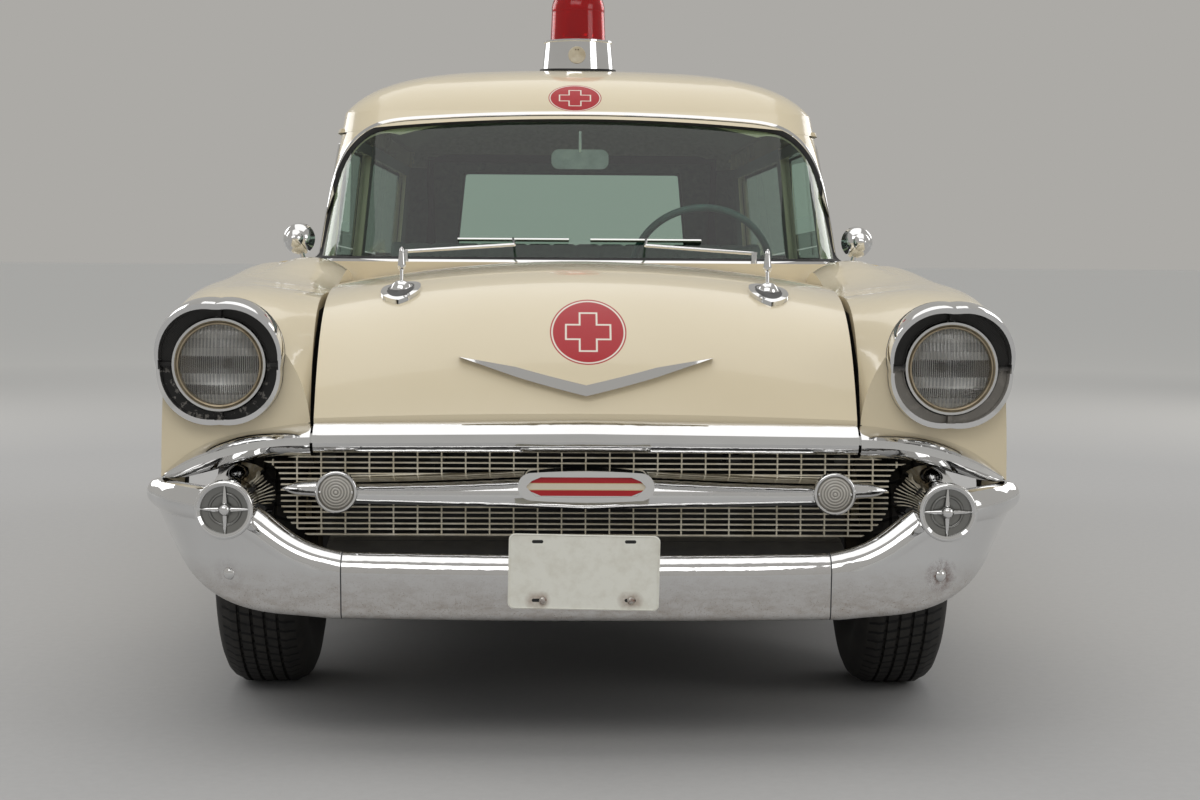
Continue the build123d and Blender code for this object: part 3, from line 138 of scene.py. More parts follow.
SEAT_CHANNEL = 0.080
SEAM_WIDTH = 0.009
SEAM_DEPTH = 0.006
CABIN_MIDDLE = Vector((0, 0.7, 1.15))
RIGHTWARD = Vector((1, 0, 0))
REARWARD = Vector((0, 1, 0))
FORWARD = Vector((0, -1, 0))
UP = Vector((0, 0, 1))
DOWN = Vector((0, 0, -1))


# Shader sums
class Signal:
    """A value in a finish, with the sums that the finishes use."""

    def __init__(self, graph, socket):
        self.graph = graph
        self.socket = socket

    def math(self, operation, *others, clamp=False):
        values = dict(enumerate((self,) + others))
        return self.graph.node("ShaderNodeMath", {"operation": operation, "use_clamp": clamp}, values)

    def __add__(self, other):
        return self.math("ADD", other)

    def __sub__(self, other):
        return self.math("SUBTRACT", other)

    def __rsub__(self, other):
        return self.graph.node("ShaderNodeMath", {"operation": "SUBTRACT"}, {0: other, 1: self})

    def __mul__(self, other):
        return self.math("MULTIPLY", other)

    def __truediv__(self, other):
        return self.math("DIVIDE", other)

    def __pow__(self, other):
        return self.math("POWER", other)

    __radd__ = __add__

    def abs(self):
        return self.math("ABSOLUTE")

    def min(self, other):
        return self.math("MINIMUM", other)

    def max(self, other):
        return self.math("MAXIMUM", other)

    def over(self, edge):
        return self.math("GREATER_THAN", edge)

    def under(self, edge):
        return self.math("LESS_THAN", edge)

    def wave(self, pitch):
        """Sine wave of the given pitch."""
        return (self * (2 * math.pi / pitch)).math("SINE")

    def clamped(self, lift=0.0):
        """The value with the lift added, held between 0 and 1."""
        return self.math("ADD", lift, clamp=True)

    def below(self, edge, soft=0.0006):
        """1 where the value is under the edge, 0 over it, with a narrow soft step."""
        return ((edge - self) / soft).clamped(0.5)

    def between(self, low, high):
        """0 at low, 1 at high, straight between."""
        return ((self - low) / (high - low)).clamped()


class Graph:
    """Nodes of a finish or of the sky."""

    def __init__(self, tree):
        self.tree = tree

    def add(self, kind, settings, values):
        made = self.tree.nodes.new(kind)
        for name, setting in settings.items():
            setattr(made, name, setting)
        for name, value in values.items():
            self.feed(made.inputs[name], value)
        return made

    def feed(self, socket, value):
        if isinstance(value, Signal):
            self.tree.links.new(value.socket, socket)
        elif isinstance(value, tuple) and len(value) == 3 and len(socket.default_value) == 4:
            socket.default_value = (*value, 1)
        else:
            socket.default_value = value

    def node(self, kind, settings, values, out=0):
        return Signal(self, self.add(kind, settings, values).outputs[out])

    def show(self, output, surface):
        self.feed(self.tree.nodes[output].inputs["Surface"], surface)


class Finish(Graph):
    """One material, built from nodes."""

    def __init__(self, name):
        self.material = bpy.data.materials.new(name)
        self.material.use_nodes = True
        super().__init__(self.material.node_tree)
        self.shader = self.tree.nodes["Principled BSDF"]
        self.place = self.node("ShaderNodeTexCoord", {}, {}, "Object")
        split = self.add("ShaderNodeSeparateXYZ", {}, {"Vector": self.place})
        self.x, self.y, self.z = [Signal(self, split.outputs[axis]) for axis in "XYZ"]

    def noise(self, scale, detail=4, rough=0.5, stretch=None):
        place = self.place
        if stretch:
            place = self.node("ShaderNodeMapping", {}, {"Vector": place, "Scale": stretch})
        values = {"Vector": place, "Scale": scale, "Detail": detail, "Roughness": rough}
        return self.node("ShaderNodeTexNoise", {}, values, "Fac")

    def mix(self, share, first, last):
        """Colour mix: first where share is 0, last where it is 1."""
        return self.node("ShaderNodeMix", {"data_type": "RGBA"}, {0: share, 6: first, 7: last}, 2)

    def set(self, **values):
        for name, value in values.items():
            self.feed(self.shader.inputs[name.replace("_", " ")], value)

    def bump(self, height, depth, strength):
        values = {"Height": height, "Distance": depth, "Strength": strength}
        self.set(Normal=self.node("ShaderNodeBump", {}, values, "Normal"))


def reach_of(u, v):
    """Distance from the middle, from its two parts."""
    return (u * u + v * v) ** 0.5


def linear(red, green, blue):
    """Screen colour, 0 to 255, as linear light."""
    parts = []
    for part in (red, green, blue):
        share = part / 255
        parts.append(share / 12.92 if share <= 0.04045 else ((share + 0.055) / 1.055) ** 2.4)
    return tuple(parts)


def grey(tone):
    return (tone, tone, tone)


# Finishes
CREAM = linear(226, 211, 178)
CREAM_DARK = linear(205, 186, 150)
CROSS_RED = (0.42, 0.001, 0.008)
CROSS_WHITE = linear(236, 228, 210)
BRIGHT = grey(0.80)


def cream_paint(name, cross=None):
    """Old cream enamel with faint mottling, dust low down and, where given, a red cross disc."""
    finish = Finish(name)
    mottle = finish.noise(1.6, 5)
    dirt = finish.noise(14, 8, 0.65)
    grime = (finish.z.between(0.55, 0.26) * dirt * 1.3).clamped()
    colour = finish.mix(mottle.between(0.35, 0.75) * 0.30, CREAM, CREAM_DARK)
    colour = finish.mix(grime * 0.55, colour, linear(120, 104, 82))
    rough = 0.20 + grime * 0.35 + dirt.between(0.45, 0.8) * 0.08
    disc = 0.0
    if cross:
        colour, disc = red_cross(finish, colour, *cross)
    finish.set(Base_Color=colour, Roughness=rough, Coat_Weight=0.6 - disc * 0.5, Coat_Roughness=0.05, IOR=1.5)
    finish.bump(finish.noise(260, 2), 0.0004, 0.10)
    return finish.material


def red_cross(finish, ground, middle_x, middle_z, half_width, half_height):
    """Disc with a pale ring and a pale-edged cross, as it shows from the front."""
    u = (finish.x - middle_x) / half_width
    v = (finish.z - middle_z) / half_height
    reach = reach_of(u, v)
    soft = 0.02
    disc = reach.below(1.0, soft) * finish.y.under(0.5)
    ring = (reach.below(0.965, soft) - reach.below(0.925, soft)) * disc
    arm_long = 0.56
    arm_wide = 0.20
    edge = 0.045

    def plus(grow):
        tall_bar = u.abs().below(arm_wide + grow, soft) * v.abs().below(arm_long + grow, soft)
        wide_bar = v.abs().below(arm_wide + grow, soft) * u.abs().below(arm_long + grow, soft)
        return tall_bar.max(wide_bar)

    line = (plus(edge) - plus(0)) * disc
    colour = finish.mix(disc, ground, CROSS_RED)
    return finish.mix(ring.max(line), colour, CROSS_WHITE), disc


def road_dust(finish, grain, speck_edge, top, film, streaked, spotted):
    """Dust that thickens downwards from a height, as a film with streaks and specks."""
    specks = finish.noise(grain, 3, 0.7).between(speck_edge, speck_edge + 0.08)
    streak = finish.noise(26, 6, 0.7, (1, 1, 2.2)).between(0.42, 0.7)
    low = finish.z.between(top, top - 0.09)
    return (low * (film + streak * streaked) + specks * low * spotted).clamped()


def chrome(name, dusty=False):
    finish = Finish(name)
    haze = finish.noise(9, 6, 0.6)
    tone = finish.mix(haze.between(0.4, 0.8) * 0.25, BRIGHT, (0.62, 0.61, 0.59))
    rough = 0.045 + haze.between(0.5, 0.85) * 0.05
    if dusty:
        dust = road_dust(finish, 340, 0.60, 0.42, 0.25, 0.6, 0.7)
        tone = finish.mix(dust * 0.75, tone, linear(142, 122, 98))
        rough = rough + dust * 0.30
    finish.set(Base_Color=tone, Roughness=rough, Metallic=1.0)
    return finish.material
def plain(name, colour, dark, rough, metallic=0.0, scale=30, bump_depth=0.0004, bump=0.2):
    """Even finish with mottling and a fine grain."""
    finish = Finish(name)
    mottle = finish.noise(scale, 6, 0.6)
    tone = finish.mix(mottle.between(0.3, 0.7), colour, dark)
    finish.set(Base_Color=tone, Roughness=rough - 0.08 + mottle * 0.16, Metallic=metallic)
    finish.bump(finish.noise(scale * 12, 3), bump_depth, bump)
    return finish.material


def glass(name, tint):
    """Thin pane: light passes straight, with a tint, and the surface reflects by angle."""
    finish = Finish(name)
    clear = finish.node("ShaderNodeBsdfTransparent", {}, {"Color": tint})
    shine = finish.node("ShaderNodeBsdfGlossy", {}, {"Color": (1, 1, 1), "Roughness": 0.01})
    facing = finish.node("ShaderNodeFresnel", {}, {"IOR": 1.5})
    back = finish.node("ShaderNodeNewGeometry", {}, {}, "Backfacing")
    pane = finish.node("ShaderNodeMixShader", {}, {0: facing * (1 - back), 1: clear, 2: shine})
    finish.show("Material Output", pane)
    return finish.material


def red_glass():
    finish = Finish("red_lens")
    haze = finish.noise(40, 4)
    tone = finish.mix(haze * 0.3, (0.75, 0.01, 0.02), (0.525, 0.007, 0.014))
    finish.set(Base_Color=tone, Roughness=0.06 + haze * 0.06, IOR=1.46, Transmission_Weight=0.85)
    return finish.material


def parking_glass():
    """Pressed glass with rings about the middle of each parking lamp, their light and dark bands painted
    highlight and shade.
    """
    finish = Finish("parking_glass")
    rings = reach_of(finish.x.abs() - PARK_X, finish.z - PARK_Z).wave(0.0062)
    # painted highlight and shade: the rings alternate light and dark in colour as well as in bump
    tone = finish.mix(rings * 0.5 + 0.5, (0.333, 0.3105, 0.27), (0.74, 0.69, 0.60))
    finish.set(Base_Color=tone, Roughness=0.12, IOR=1.5, Transmission_Weight=0.25)
    finish.bump(rings, 0.0012, 0.5)
    return finish.material


def fluted_glass():
    """Sealed-beam front glass: upright flutes in bands and a blocked pattern round them, coloured after their
    relief as painted highlight and shade.
    """
    finish = Finish("fluted_glass")
    u = (finish.x.abs() - LAMP_X).abs()
    v = finish.z - LAMP_Z
    fine = u.wave(0.0042)
    band = (v.abs() - 0.002).below(0.016, 0.003)
    low_band = (v + 0.052).abs().below(0.010, 0.002)
    blocks = v.wave(0.036).over(0.0)
    height = u.wave(0.0075) * (1 - band) * (0.35 + blocks * 0.3) + fine * band + fine * low_band
    # painted highlight and shade: the glass is tinted darker on the flute crests, lighter in the hollows
    tone = finish.mix(height.between(-0.1, 0.75), (0.97, 0.97, 0.95), (0.58, 0.58, 0.60))
    finish.set(Base_Color=tone, Roughness=0.03, IOR=1.5, Transmission_Weight=1.0)
    finish.bump(height, 0.0022, 0.7)
    return finish.material


def plate_paint():
    """Blank plate enamel with four slots painted near-black as shaded holes, the lower two rusty."""
    finish = Finish("plate_enamel")
    u = finish.x - PLATE_PLACE[0]
    v = finish.z - PLATE_PLACE[2]
    past_end = ((u.abs() - 0.0935).abs() - 0.008).max(0.0)
    reach = reach_of(past_end, (v - 0.062).abs().min((v + 0.057).abs()))
    grime = finish.noise(30, 6, 0.65).between(0.45, 0.75)
    rust = finish.noise(60, 5, 0.7) * reach.below(0.014, 0.012) * v.below(0.0, 0.01)
    tone = finish.mix(grime * 0.35, linear(233, 230, 216), linear(186, 176, 152))
    tone = finish.mix(rust * 0.9, tone, linear(120, 74, 40))
    # painted shade: the slots are not cut, only coloured near-black
    tone = finish.mix(reach.below(0.0034, 0.0005), tone, grey(0.01))
    finish.set(Base_Color=tone, Roughness=0.35 + grime * 0.2)
    return finish.material
def rusty_chrome():
    finish = Finish("rusty_fixings")
    rust = finish.noise(90, 6, 0.7).between(0.42, 0.62)
    finish.set(Base_Color=finish.mix(rust, (0.62, 0.60, 0.56), linear(112, 66, 34)),
               Roughness=0.25 + rust * 0.5, Metallic=1.0 - rust)
    return finish.material


def headlamp_finish():
    """Bright bezel with a black recessed surround. The lower half is worn, silver on the driver's side."""
    finish = Finish("lamp_bezel")
    u = finish.x.abs() - LAMP_X
    v = finish.z - LAMP_Z
    recess = finish.y.over(BEZEL_PLATE_Y - 0.004) * reach_of(u, v).over(0.1005)
    for across, outward, tip in ((u, v, 0.1165), (v, u, 0.1255)):
        past_ring = outward.abs().between(0.1008, 0.1012)
        recess = recess.max(across.abs().below(0.010) * past_ring * outward.abs().below(tip))
    upper = v.between(-0.012, 0.004)
    weave = (u.wave(0.0052) * v.wave(0.0052)).over(-0.15) * upper
    chips = finish.noise(55, 6, 0.7).between(0.56, 0.60) * (1 - upper)
    silver = ((1 - upper) * finish.x.over(0.0) * 0.85 + chips * 0.7).clamped()
    dark = finish.mix(weave, grey(0.004), linear(44, 42, 40))
    dark = finish.mix(silver, dark, linear(150, 146, 140))
    finish.set(Base_Color=finish.mix(recess, BRIGHT, dark), Roughness=0.05 + recess * 0.35,
               Metallic=1 - recess * (1 - silver * 0.9))
    finish.bump(weave * recess, 0.0008, 0.5)
    return finish.material


def bumper_finish():
    """Plated bumper: dust low down, dark joints and irons, rust round the driver's side bolt."""
    finish = Finish("bumper_plate")
    haze = finish.noise(9, 6, 0.6)
    dust = road_dust(finish, 420, 0.58, 0.40, 0.30, 0.45, 0.8)
    halo = reach_of(finish.x.abs() - BOLT_X, finish.z - BOLT_Z).between(0.040, 0.012)
    halo = halo * finish.noise(48, 6, 0.75).between(0.40, 0.60) * (0.15 + finish.x.over(0.0) * 0.85)
    joint = (finish.x.abs() - JOINT_X).abs().below(0.0013, 0.0008)
    iron = (finish.x.abs() - IRON_X).abs().below(0.0285) * finish.y.over(IRON_FRONT_Y)
    black = joint.max(iron * finish.z.below(IRON_TOP_Z))
    tone = finish.mix(haze.between(0.4, 0.8) * 0.2, BRIGHT, (0.64, 0.63, 0.61))
    tone = finish.mix(dust * 0.7, tone, linear(140, 120, 96))
    tone = finish.mix(halo, tone, linear(96, 54, 26))
    finish.set(Base_Color=finish.mix(black, tone, grey(0.008)), Metallic=(1 - halo * 0.9) * (1 - black),
               Roughness=0.05 + dust * 0.28 + halo * 0.5 + black * 0.5)
    return finish.material


def bar_finish():
    """Bright cross bar whose middle field is enamelled in bands of red and cream."""
    finish = Finish("grille_bar_plate")
    u = finish.x.abs()
    v = (finish.z - EMBLEM_Z).abs()
    half_height = 0.0195 - (u - 0.095).max(0.0) * 0.42
    field = u.below(0.124, 0.0008) * v.below(half_height, 0.0008)
    field = field * finish.y.over(EMBLEM_FRONT_Y) * finish.y.under(EMBLEM_BACK_Y)
    line = (v - 0.0066).abs().below(0.0009, 0.0004)
    tone = finish.mix(v.over(0.0062), linear(226, 214, 190), linear(178, 24, 32))
    tone = finish.mix(field, BRIGHT, finish.mix(line, tone, linear(214, 196, 150)))
    finish.set(Base_Color=tone, Roughness=0.05 + field * 0.2, Metallic=1 - field)
    return finish.material


def guard_finish():
    """Bright round guards whose recessed faces, between the spokes and the ring, carry painted shade."""
    finish = Finish("guard_plate")
    reach = reach_of(finish.x.abs() - GUARD_X, finish.z - GUARD_Z)
    floor = finish.y.over(GUARD_FACE_Y + 0.0105) * finish.y.under(GUARD_FACE_Y + 0.024)
    # painted shade: the recess floor inside the ring is coloured dark grey
    shade = floor * reach.below(0.0475, 0.001)
    tone = finish.mix(shade, BRIGHT, (0.27, 0.27, 0.26))
    finish.set(Base_Color=tone, Roughness=0.05 + shade * 0.3, Metallic=1.0)
    return finish.material


def fender_lining():
    """Dark inner side of a fender, in body colour where it stands above the hood's edge."""
    finish = Finish("fender_lining")
    back = finish.y + 2.02
    hood_edge = (back * 0.05).min(back * 0.53) + 0.895
    skin = (finish.z - hood_edge).between(0.0, 0.004)
    grime = finish.noise(12, 5, 0.6).between(0.35, 0.75)
    dark = finish.mix(grime, linear(40, 37, 34), linear(22, 20, 18))
    finish.set(Base_Color=finish.mix(skin, dark, CREAM), Roughness=0.7 - skin * 0.45)
    return finish.material


def sight_finish():
    """Bright hood ornaments. The two sight sockets have a black field with bright arcs."""
    finish = Finish("hood_ornament_plate")
    u = finish.x.abs() - SIGHT_X
    v = finish.y - SIGHT_Y
    reach = reach_of(u, v)
    oval = ((u * 1.25) * (u * 1.25) + (v + 0.012) * (v + 0.012) * 0.62) ** 0.5
    socket = reach.below(0.09, 0.001) * oval.below(0.0385, 0.0008) * reach.over(0.0235)
    black = socket * (1 - reach.wave(0.0075).over(0.25) * v.over(-0.012))
    finish.set(Base_Color=finish.mix(black, BRIGHT, grey(0.006)), Roughness=0.05 + black * 0.3,
               Metallic=1 - black)
    return finish.material


def wheel_finish(name, axle_y):
    """Cream steel wheel with a bright hub cap."""
    finish = Finish(name)
    cap = reach_of(finish.y - axle_y, finish.z - AXLE_Z).below(0.127, 0.0008)
    dirt = finish.noise(24, 6, 0.6).between(0.4, 0.75)
    enamel = finish.mix(dirt * 0.35, CREAM, linear(130, 114, 90))
    tone = finish.mix(cap, enamel, grey(0.78))
    finish.set(Base_Color=tone, Roughness=0.3 - cap * 0.24 + dirt * 0.1, Metallic=cap)
    return finish.material


def tread_finish(name, axle_y):
    """Rubber with moulded sipes across the tread, the slits coloured near-black as painted shade."""
    finish = Finish(name)
    u = finish.y - axle_y
    v = finish.z - AXLE_Z
    tread = reach_of(u, v).over(AXLE_Z - 0.0135)
    slanted = v.math("ARCTAN2", u) * 78 + finish.x.abs() * 60
    sipes = slanted.math("SINE").between(0.55, 0.8) * tread
    dust = finish.noise(30, 6, 0.65)
    tone = finish.mix(dust.between(0.35, 0.75), linear(36, 35, 34), linear(58, 55, 50))
    # painted shade: the sipes are coloured near-black on top of their bump
    finish.set(Base_Color=finish.mix(sipes, tone, grey(0.004)), Roughness=0.66 + dust * 0.2)
    finish.bump(finish.noise(300, 3) * 0.15 - sipes, 0.003, 0.6)
    return finish.material
PAINT = cream_paint("cream_enamel")
PAINT_HOOD = cream_paint("cream_enamel_hood", (0.005, 0.858, 0.083, 0.068))
PAINT_ROOF = cream_paint("cream_enamel_roof", (-0.012, 1.4889, 0.0785, 0.0415))
CHROME = chrome("bright_plate")
CHROME_DUSTY = chrome("dusty_plate", dusty=True)
GRILLE_METAL = plain("grille_plate", linear(246, 238, 218), linear(214, 202, 174), 0.32, 0.25)
BLACK = plain("black_paint", linear(26, 25, 24), linear(12, 12, 12), 0.45)
UNDERBODY = plain("frame_black", linear(40, 37, 34), linear(22, 20, 18), 0.7, 0.0, 12, 0.001, 0.4)
CAST = plain("cast_metal", linear(86, 76, 62), linear(48, 42, 36), 0.62, 0.6, 14, 0.001, 0.4)
STEEL = plain("bare_steel", linear(128, 116, 102), linear(86, 72, 58), 0.5, 0.8, 18)
CABIN_GREEN = plain("cabin_green", linear(52, 88, 80), linear(36, 62, 58), 0.4)
SEAT_VINYL = plain("seat_vinyl", linear(92, 108, 96), linear(72, 86, 78), 0.5, 0.0, 60, 0.0008, 0.5)
GLASS = glass("window_glass", (0.80, 0.88, 0.84))
RED_LENS = red_glass()
LAMP_BEZEL = headlamp_finish()
BUMPER_PLATE = bumper_finish()
BAR_PLATE = bar_finish()
ORNAMENT_PLATE = sight_finish()
GUARD_PLATE = guard_finish()
WHEEL_FRONT = wheel_finish("wheel_front_enamel", FRONT_AXLE_Y)
WHEEL_REAR = wheel_finish("wheel_rear_enamel", REAR_AXLE_Y)
TREAD_FRONT = tread_finish("tread_front", FRONT_AXLE_Y)
TREAD_REAR = tread_finish("tread_rear", REAR_AXLE_Y)
GASKET = plain("gasket_rubber", linear(20, 20, 20), linear(10, 10, 10), 0.6)
COVER_PAINT = plain("engine_enamel", linear(172, 76, 40), linear(104, 48, 30), 0.4)
RUSTY = rusty_chrome()
REFLECTOR = plain("lamp_reflector", (0.96, 0.96, 0.95), (0.90, 0.90, 0.88), 0.34, 0.45)
BEIGE_RING = plain("lamp_ring", linear(190, 176, 150), linear(150, 136, 112), 0.3, 0.8)
BADGE = plain("badge_enamel", linear(206, 196, 172), linear(176, 162, 134), 0.4)
MIRROR_BACK = plain("mirror_back", linear(170, 172, 168), linear(140, 142, 140), 0.35)
POINTER_WHITE = plain("pointer_white", linear(230, 226, 214), linear(210, 204, 190), 0.5)
HEADLINER = plain("headliner", linear(168, 166, 150), linear(140, 138, 124), 0.7, 0.0, 60, 0.0006, 0.4)
CABIN_PANEL = plain("cabin_panel", linear(92, 108, 96), linear(72, 86, 78), 0.55, 0.0, 50, 0.0006, 0.4)
FLOOR_MAT = plain("floor_mat", linear(52, 54, 50), linear(34, 36, 34), 0.75, 0.0, 40, 0.001, 0.5)
FLUTED = fluted_glass()
PARK_LENS = parking_glass()
FENDER_LINING = fender_lining()


def by_node(groups):
    return {node: finish for finish, nodes in groups for node in nodes.split()}


# Finish of each copied solid, then of the faces that look into the cabin, the engine bay or a wheel arch
OUTER_FINISH = by_node((
    (PAINT, "door_left door_right side_left side_right fender_left fender_right cowl liftgate tailgate"),
    (PAINT_ROOF, "roof"),
    (PAINT_HOOD, "hood"),
    (ORNAMENT_PLATE, "hood_ornaments"),
    (UNDERBODY, "floor_pan frame fuel_tank leaf_springs rear_axle"),
    (BLACK, "radiator gravel_pan"),
    (CAST, "engine knuckle_left knuckle_right"),
    (STEEL, "exhaust"),
    (GLASS, "windscreen_glass door_glass_left door_glass_right quarter_glass liftgate_glass"),
    (RED_LENS, "beacon_dome tail_lamps"),
    (LAMP_BEZEL, "headlamps"),
    (BAR_PLATE, "grille_bar"),
    (BUMPER_PLATE, "front_bumper"),
    (GUARD_PLATE, "bumper_guards"),
    (CHROME_DUSTY, "rear_bumper"),
    (CHROME, "grille_surround wipers door_mirror_left door_mirror_right beacon_base beacon_rotor"),
    (GRILLE_METAL, "grille_mesh"),
    (CABIN_GREEN, "dashboard steering_wheel"),
    (WHEEL_FRONT, "wheel_front_left wheel_front_right"),
    (WHEEL_REAR, "wheel_rear_left wheel_rear_right"),
))
INNER_FINISH = by_node((
    (HEADLINER, "roof"),
    (CABIN_PANEL, "door_left door_right side_left side_right liftgate tailgate"),
    (FENDER_LINING, "fender_left fender_right"),
    (FLOOR_MAT, "floor_pan"),
    (UNDERBODY, "hood"),
))


def looks_inward(node, face):
    """True for a face on the inside of a panel."""
    x, y, z = face.center
    normal = face.normal
    if node in ("roof", "hood"):
        return normal.z < -0.30
    if node == "floor_pan":
        return normal.z > 0.5
    if node in ("liftgate", "tailgate"):
        return normal.y < -0.40
    if node.startswith("fender"):
        if abs(x) < APRON_X and z < APRON_Z:
            return True
        if normal.z > 0.05 or y < FENDER_FRONT_Y + 0.02:
            return False
    if node.startswith("side"):
        if (z > BELT_Z and abs(x) > QUARTER_SKIN_X) or y > BODY_END_Y:
            return False
    return normal.x * x < -0.25 * abs(x)
def dress(node):
    source = NODES[node]
    mesh = source.data.copy()
    mesh.materials.clear()
    mesh.materials.append(OUTER_FINISH[node])
    if node in INNER_FINISH:
        mesh.materials.append(INNER_FINISH[node])
        for face in mesh.polygons:
            face.material_index = 1 if looks_inward(node, face) else 0
    piece = bpy.data.objects.new(f"{node}_skin", mesh)
    SCENE.collection.objects.link(piece)
    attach(piece, source["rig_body"])
    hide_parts(node)


for node in sorted(OUTER_FINISH):
    dress(node)


# Mesh building
class Piece:
    """Gathers the faces of one trim piece, then makes it an object on a body."""

    def __init__(self):
        self.verts = []
        self.faces = []
        self.slots = []
        self.materials = []

    def slot_of(self, material):
        if material not in self.materials:
            self.materials.append(material)
        return self.materials.index(material)

    def grid(self, rows, material, wrap_rows=False, wrap_points=False):
        """Quads between neighbouring rows of points."""
        first = len(self.verts)
        count = len(rows[0])
        for row in rows:
            self.verts.extend(row)
        slot = self.slot_of(material)
        for i in range(len(rows) if wrap_rows else len(rows) - 1):
            for j in range(count if wrap_points else count - 1):
                here = first + i * count
                after = first + ((i + 1) % len(rows)) * count
                following = (j + 1) % count
                self.faces.append((here + j, here + following, after + following, after + j))
                self.slots.append(slot)

    def cap(self, points, material):
        first = len(self.verts)
        self.verts.extend(points)
        self.faces.append(tuple(range(first, first + len(points))))
        self.slots.append(self.slot_of(material))

    def skin(self, rows, material, closed=False):
        """Skin round closed rows of points, with flat ends unless the last row meets the first."""
        self.grid(rows, material, wrap_rows=closed, wrap_points=True)
        if not closed:
            self.cap(rows[0], material)
            self.cap(rows[-1], material)

    def tube(self, path, radius, material, closed=False, sides=10):
        """Round bar along a path."""
        points = [Vector(point) for point in path]
        rows = []
        side = None
        for i, point in enumerate(points):
            along = direction_at(points, i, closed)
            if side is None:
                side = along.orthogonal().normalized()
            side = (side - along * side.dot(along)).normalized()
            other = along.cross(side)
            turns = [2 * math.pi * k / sides for k in range(sides)]
            rows.append([point + (side * math.cos(turn) + other * math.sin(turn)) * radius for turn in turns])
        self.skin(rows, material, closed)

    def ribbon(self, path, normals, profile, material, closed=False):
        """Solid strip along a path on a surface. Profile rows are (sideways, off the surface)."""
        points = [Vector(point) for point in path]
        rows = []
        for i, point in enumerate(points):
            along = direction_at(points, i, closed)
            normal = (normals[i] - along * normals[i].dot(along)).normalized()
            side = along.cross(normal)
            rows.append([point + side * across + normal * lift for across, lift in profile])
        self.skin(rows, material, closed)

    def turned(self, profile, origin, axis, material, steps=48):
        """Turned piece. Profile rows are (radius, distance along the axis)."""
        origin = Vector(origin)
        along = Vector(axis).normalized()
        side = along.orthogonal().normalized()
        other = along.cross(side)
        rows = []
        for k in range(steps):
            turn = 2 * math.pi * k / steps
            out = side * math.cos(turn) + other * math.sin(turn)
            rows.append([origin + out * max(radius, 0.00002) + along * reach for radius, reach in profile])
        self.grid(rows, material, wrap_rows=True)

    def block(self, low, high, material, turn=None, about=None):
        xs, ys, zs = zip(low, high)
        corners = [Vector((x, y, z)) for z in zs for y in ys for x in xs]
        if turn:
            middle = Vector(about)
            corners = [middle + turn @ (corner - middle) for corner in corners]
        first = len(self.verts)
        self.verts.extend(corners)
        slot = self.slot_of(material)
        for face in ((0, 2, 3, 1), (4, 5, 7, 6), (0, 1, 5, 4), (2, 6, 7, 3), (0, 4, 6, 2), (1, 3, 7, 5)):
            self.faces.append(tuple(first + index for index in face))
            self.slots.append(slot)

    def slab(self, outline, origin, across, upward, thickness, material):
        """Flat plate from an outline in its own plane, with its front towards across x upward."""
        across = Vector(across)
        upward = Vector(upward)
        off = across.cross(upward).normalized()
        front = [Vector(origin) + across * u + upward * v + off * thickness / 2 for u, v in outline]
        back = [point - off * thickness for point in front]
        self.skin([front, back], material)

    def done(self, name, body, sharp=35, bevel=None):
        mesh = bpy.data.meshes.new(name)
        mesh.from_pydata([tuple(vert) for vert in self.verts], [], self.faces)
        for material in self.materials:
            mesh.materials.append(material)
        mesh.polygons.foreach_set("material_index", self.slots)
        work = bmesh.new()
        work.from_mesh(mesh)
        bmesh.ops.remove_doubles(work, verts=work.verts, dist=0.00003)
        bmesh.ops.recalc_face_normals(work, faces=work.faces)
        work.to_mesh(mesh)
        work.free()
        mesh.shade_smooth()
        mesh.set_sharp_from_angle(angle=math.radians(sharp))
        made = bpy.data.objects.new(name, mesh)
        SCENE.collection.objects.link(made)
        if bevel:
            edge = made.modifiers.new("edge", "BEVEL")
            edge.width = bevel
            edge.segments = 2
            edge.limit_method = "ANGLE"
            edge.angle_limit = math.radians(50)
        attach(made, body)
        return made


def direction_at(points, index, closed):
    count = len(points)
    before = points[(index - 1) % count] if closed or index > 0 else points[index]
    after = points[(index + 1) % count] if closed or index < count - 1 else points[index]
    return (after - before).normalized()


def resample(path, count, closed=False):
    """Even points along a path."""
    points = [Vector(point) for point in path]
    if closed:
        points.append(points[0])
    reach = [0.0]
    for before, after in zip(points, points[1:]):
        reach.append(reach[-1] + (after - before).length)
    steps = count if closed else count - 1
    made = []
    at = 0
    for k in range(count):
        want = reach[-1] * k / steps
        while at < len(reach) - 2 and reach[at + 1] < want:
            at += 1
        span = max(reach[at + 1] - reach[at], 1e-9)
        made.append(points[at].lerp(points[at + 1], (want - reach[at]) / span))
    return made


def relax(points, times):
    """Evens out small steps of a closed path."""
    for _ in range(times):
        count = len(points)
        points = [points[i] * 0.5 + (points[i - 1] + points[(i + 1) % count]) * 0.25 for i in range(count)]
    return points
TREES = {}


def tree_of(node):
    if node not in TREES:
        mesh = NODES[node].data
        TREES[node] = BVHTree.FromPolygons(
            [vert.co.copy() for vert in mesh.vertices], [tuple(face.vertices) for face in mesh.polygons])
    return TREES[node]


def hit(nodes, origin, direction):
    """First point of some nodes met by a ray, with the surface's normal turned towards the ray."""
    best = None
    for node in nodes:
        place, normal, _, distance = tree_of(node).ray_cast(Vector(origin), Vector(direction))
        if place and (best is None or distance < best[2]):
            best = (place, normal, distance)
    if best is None:
        return None
    place, normal, _ = best
    if normal.dot(Vector(direction)) > 0:
        normal = -normal
    return place, normal


def drape(nodes, starts, direction):
    """Points and normals where rays from the starts meet the nodes."""
    met = [hit(nodes, start, direction) for start in starts]
    met = [item for item in met if item]
    return [item[0] for item in met], [item[1] for item in met]


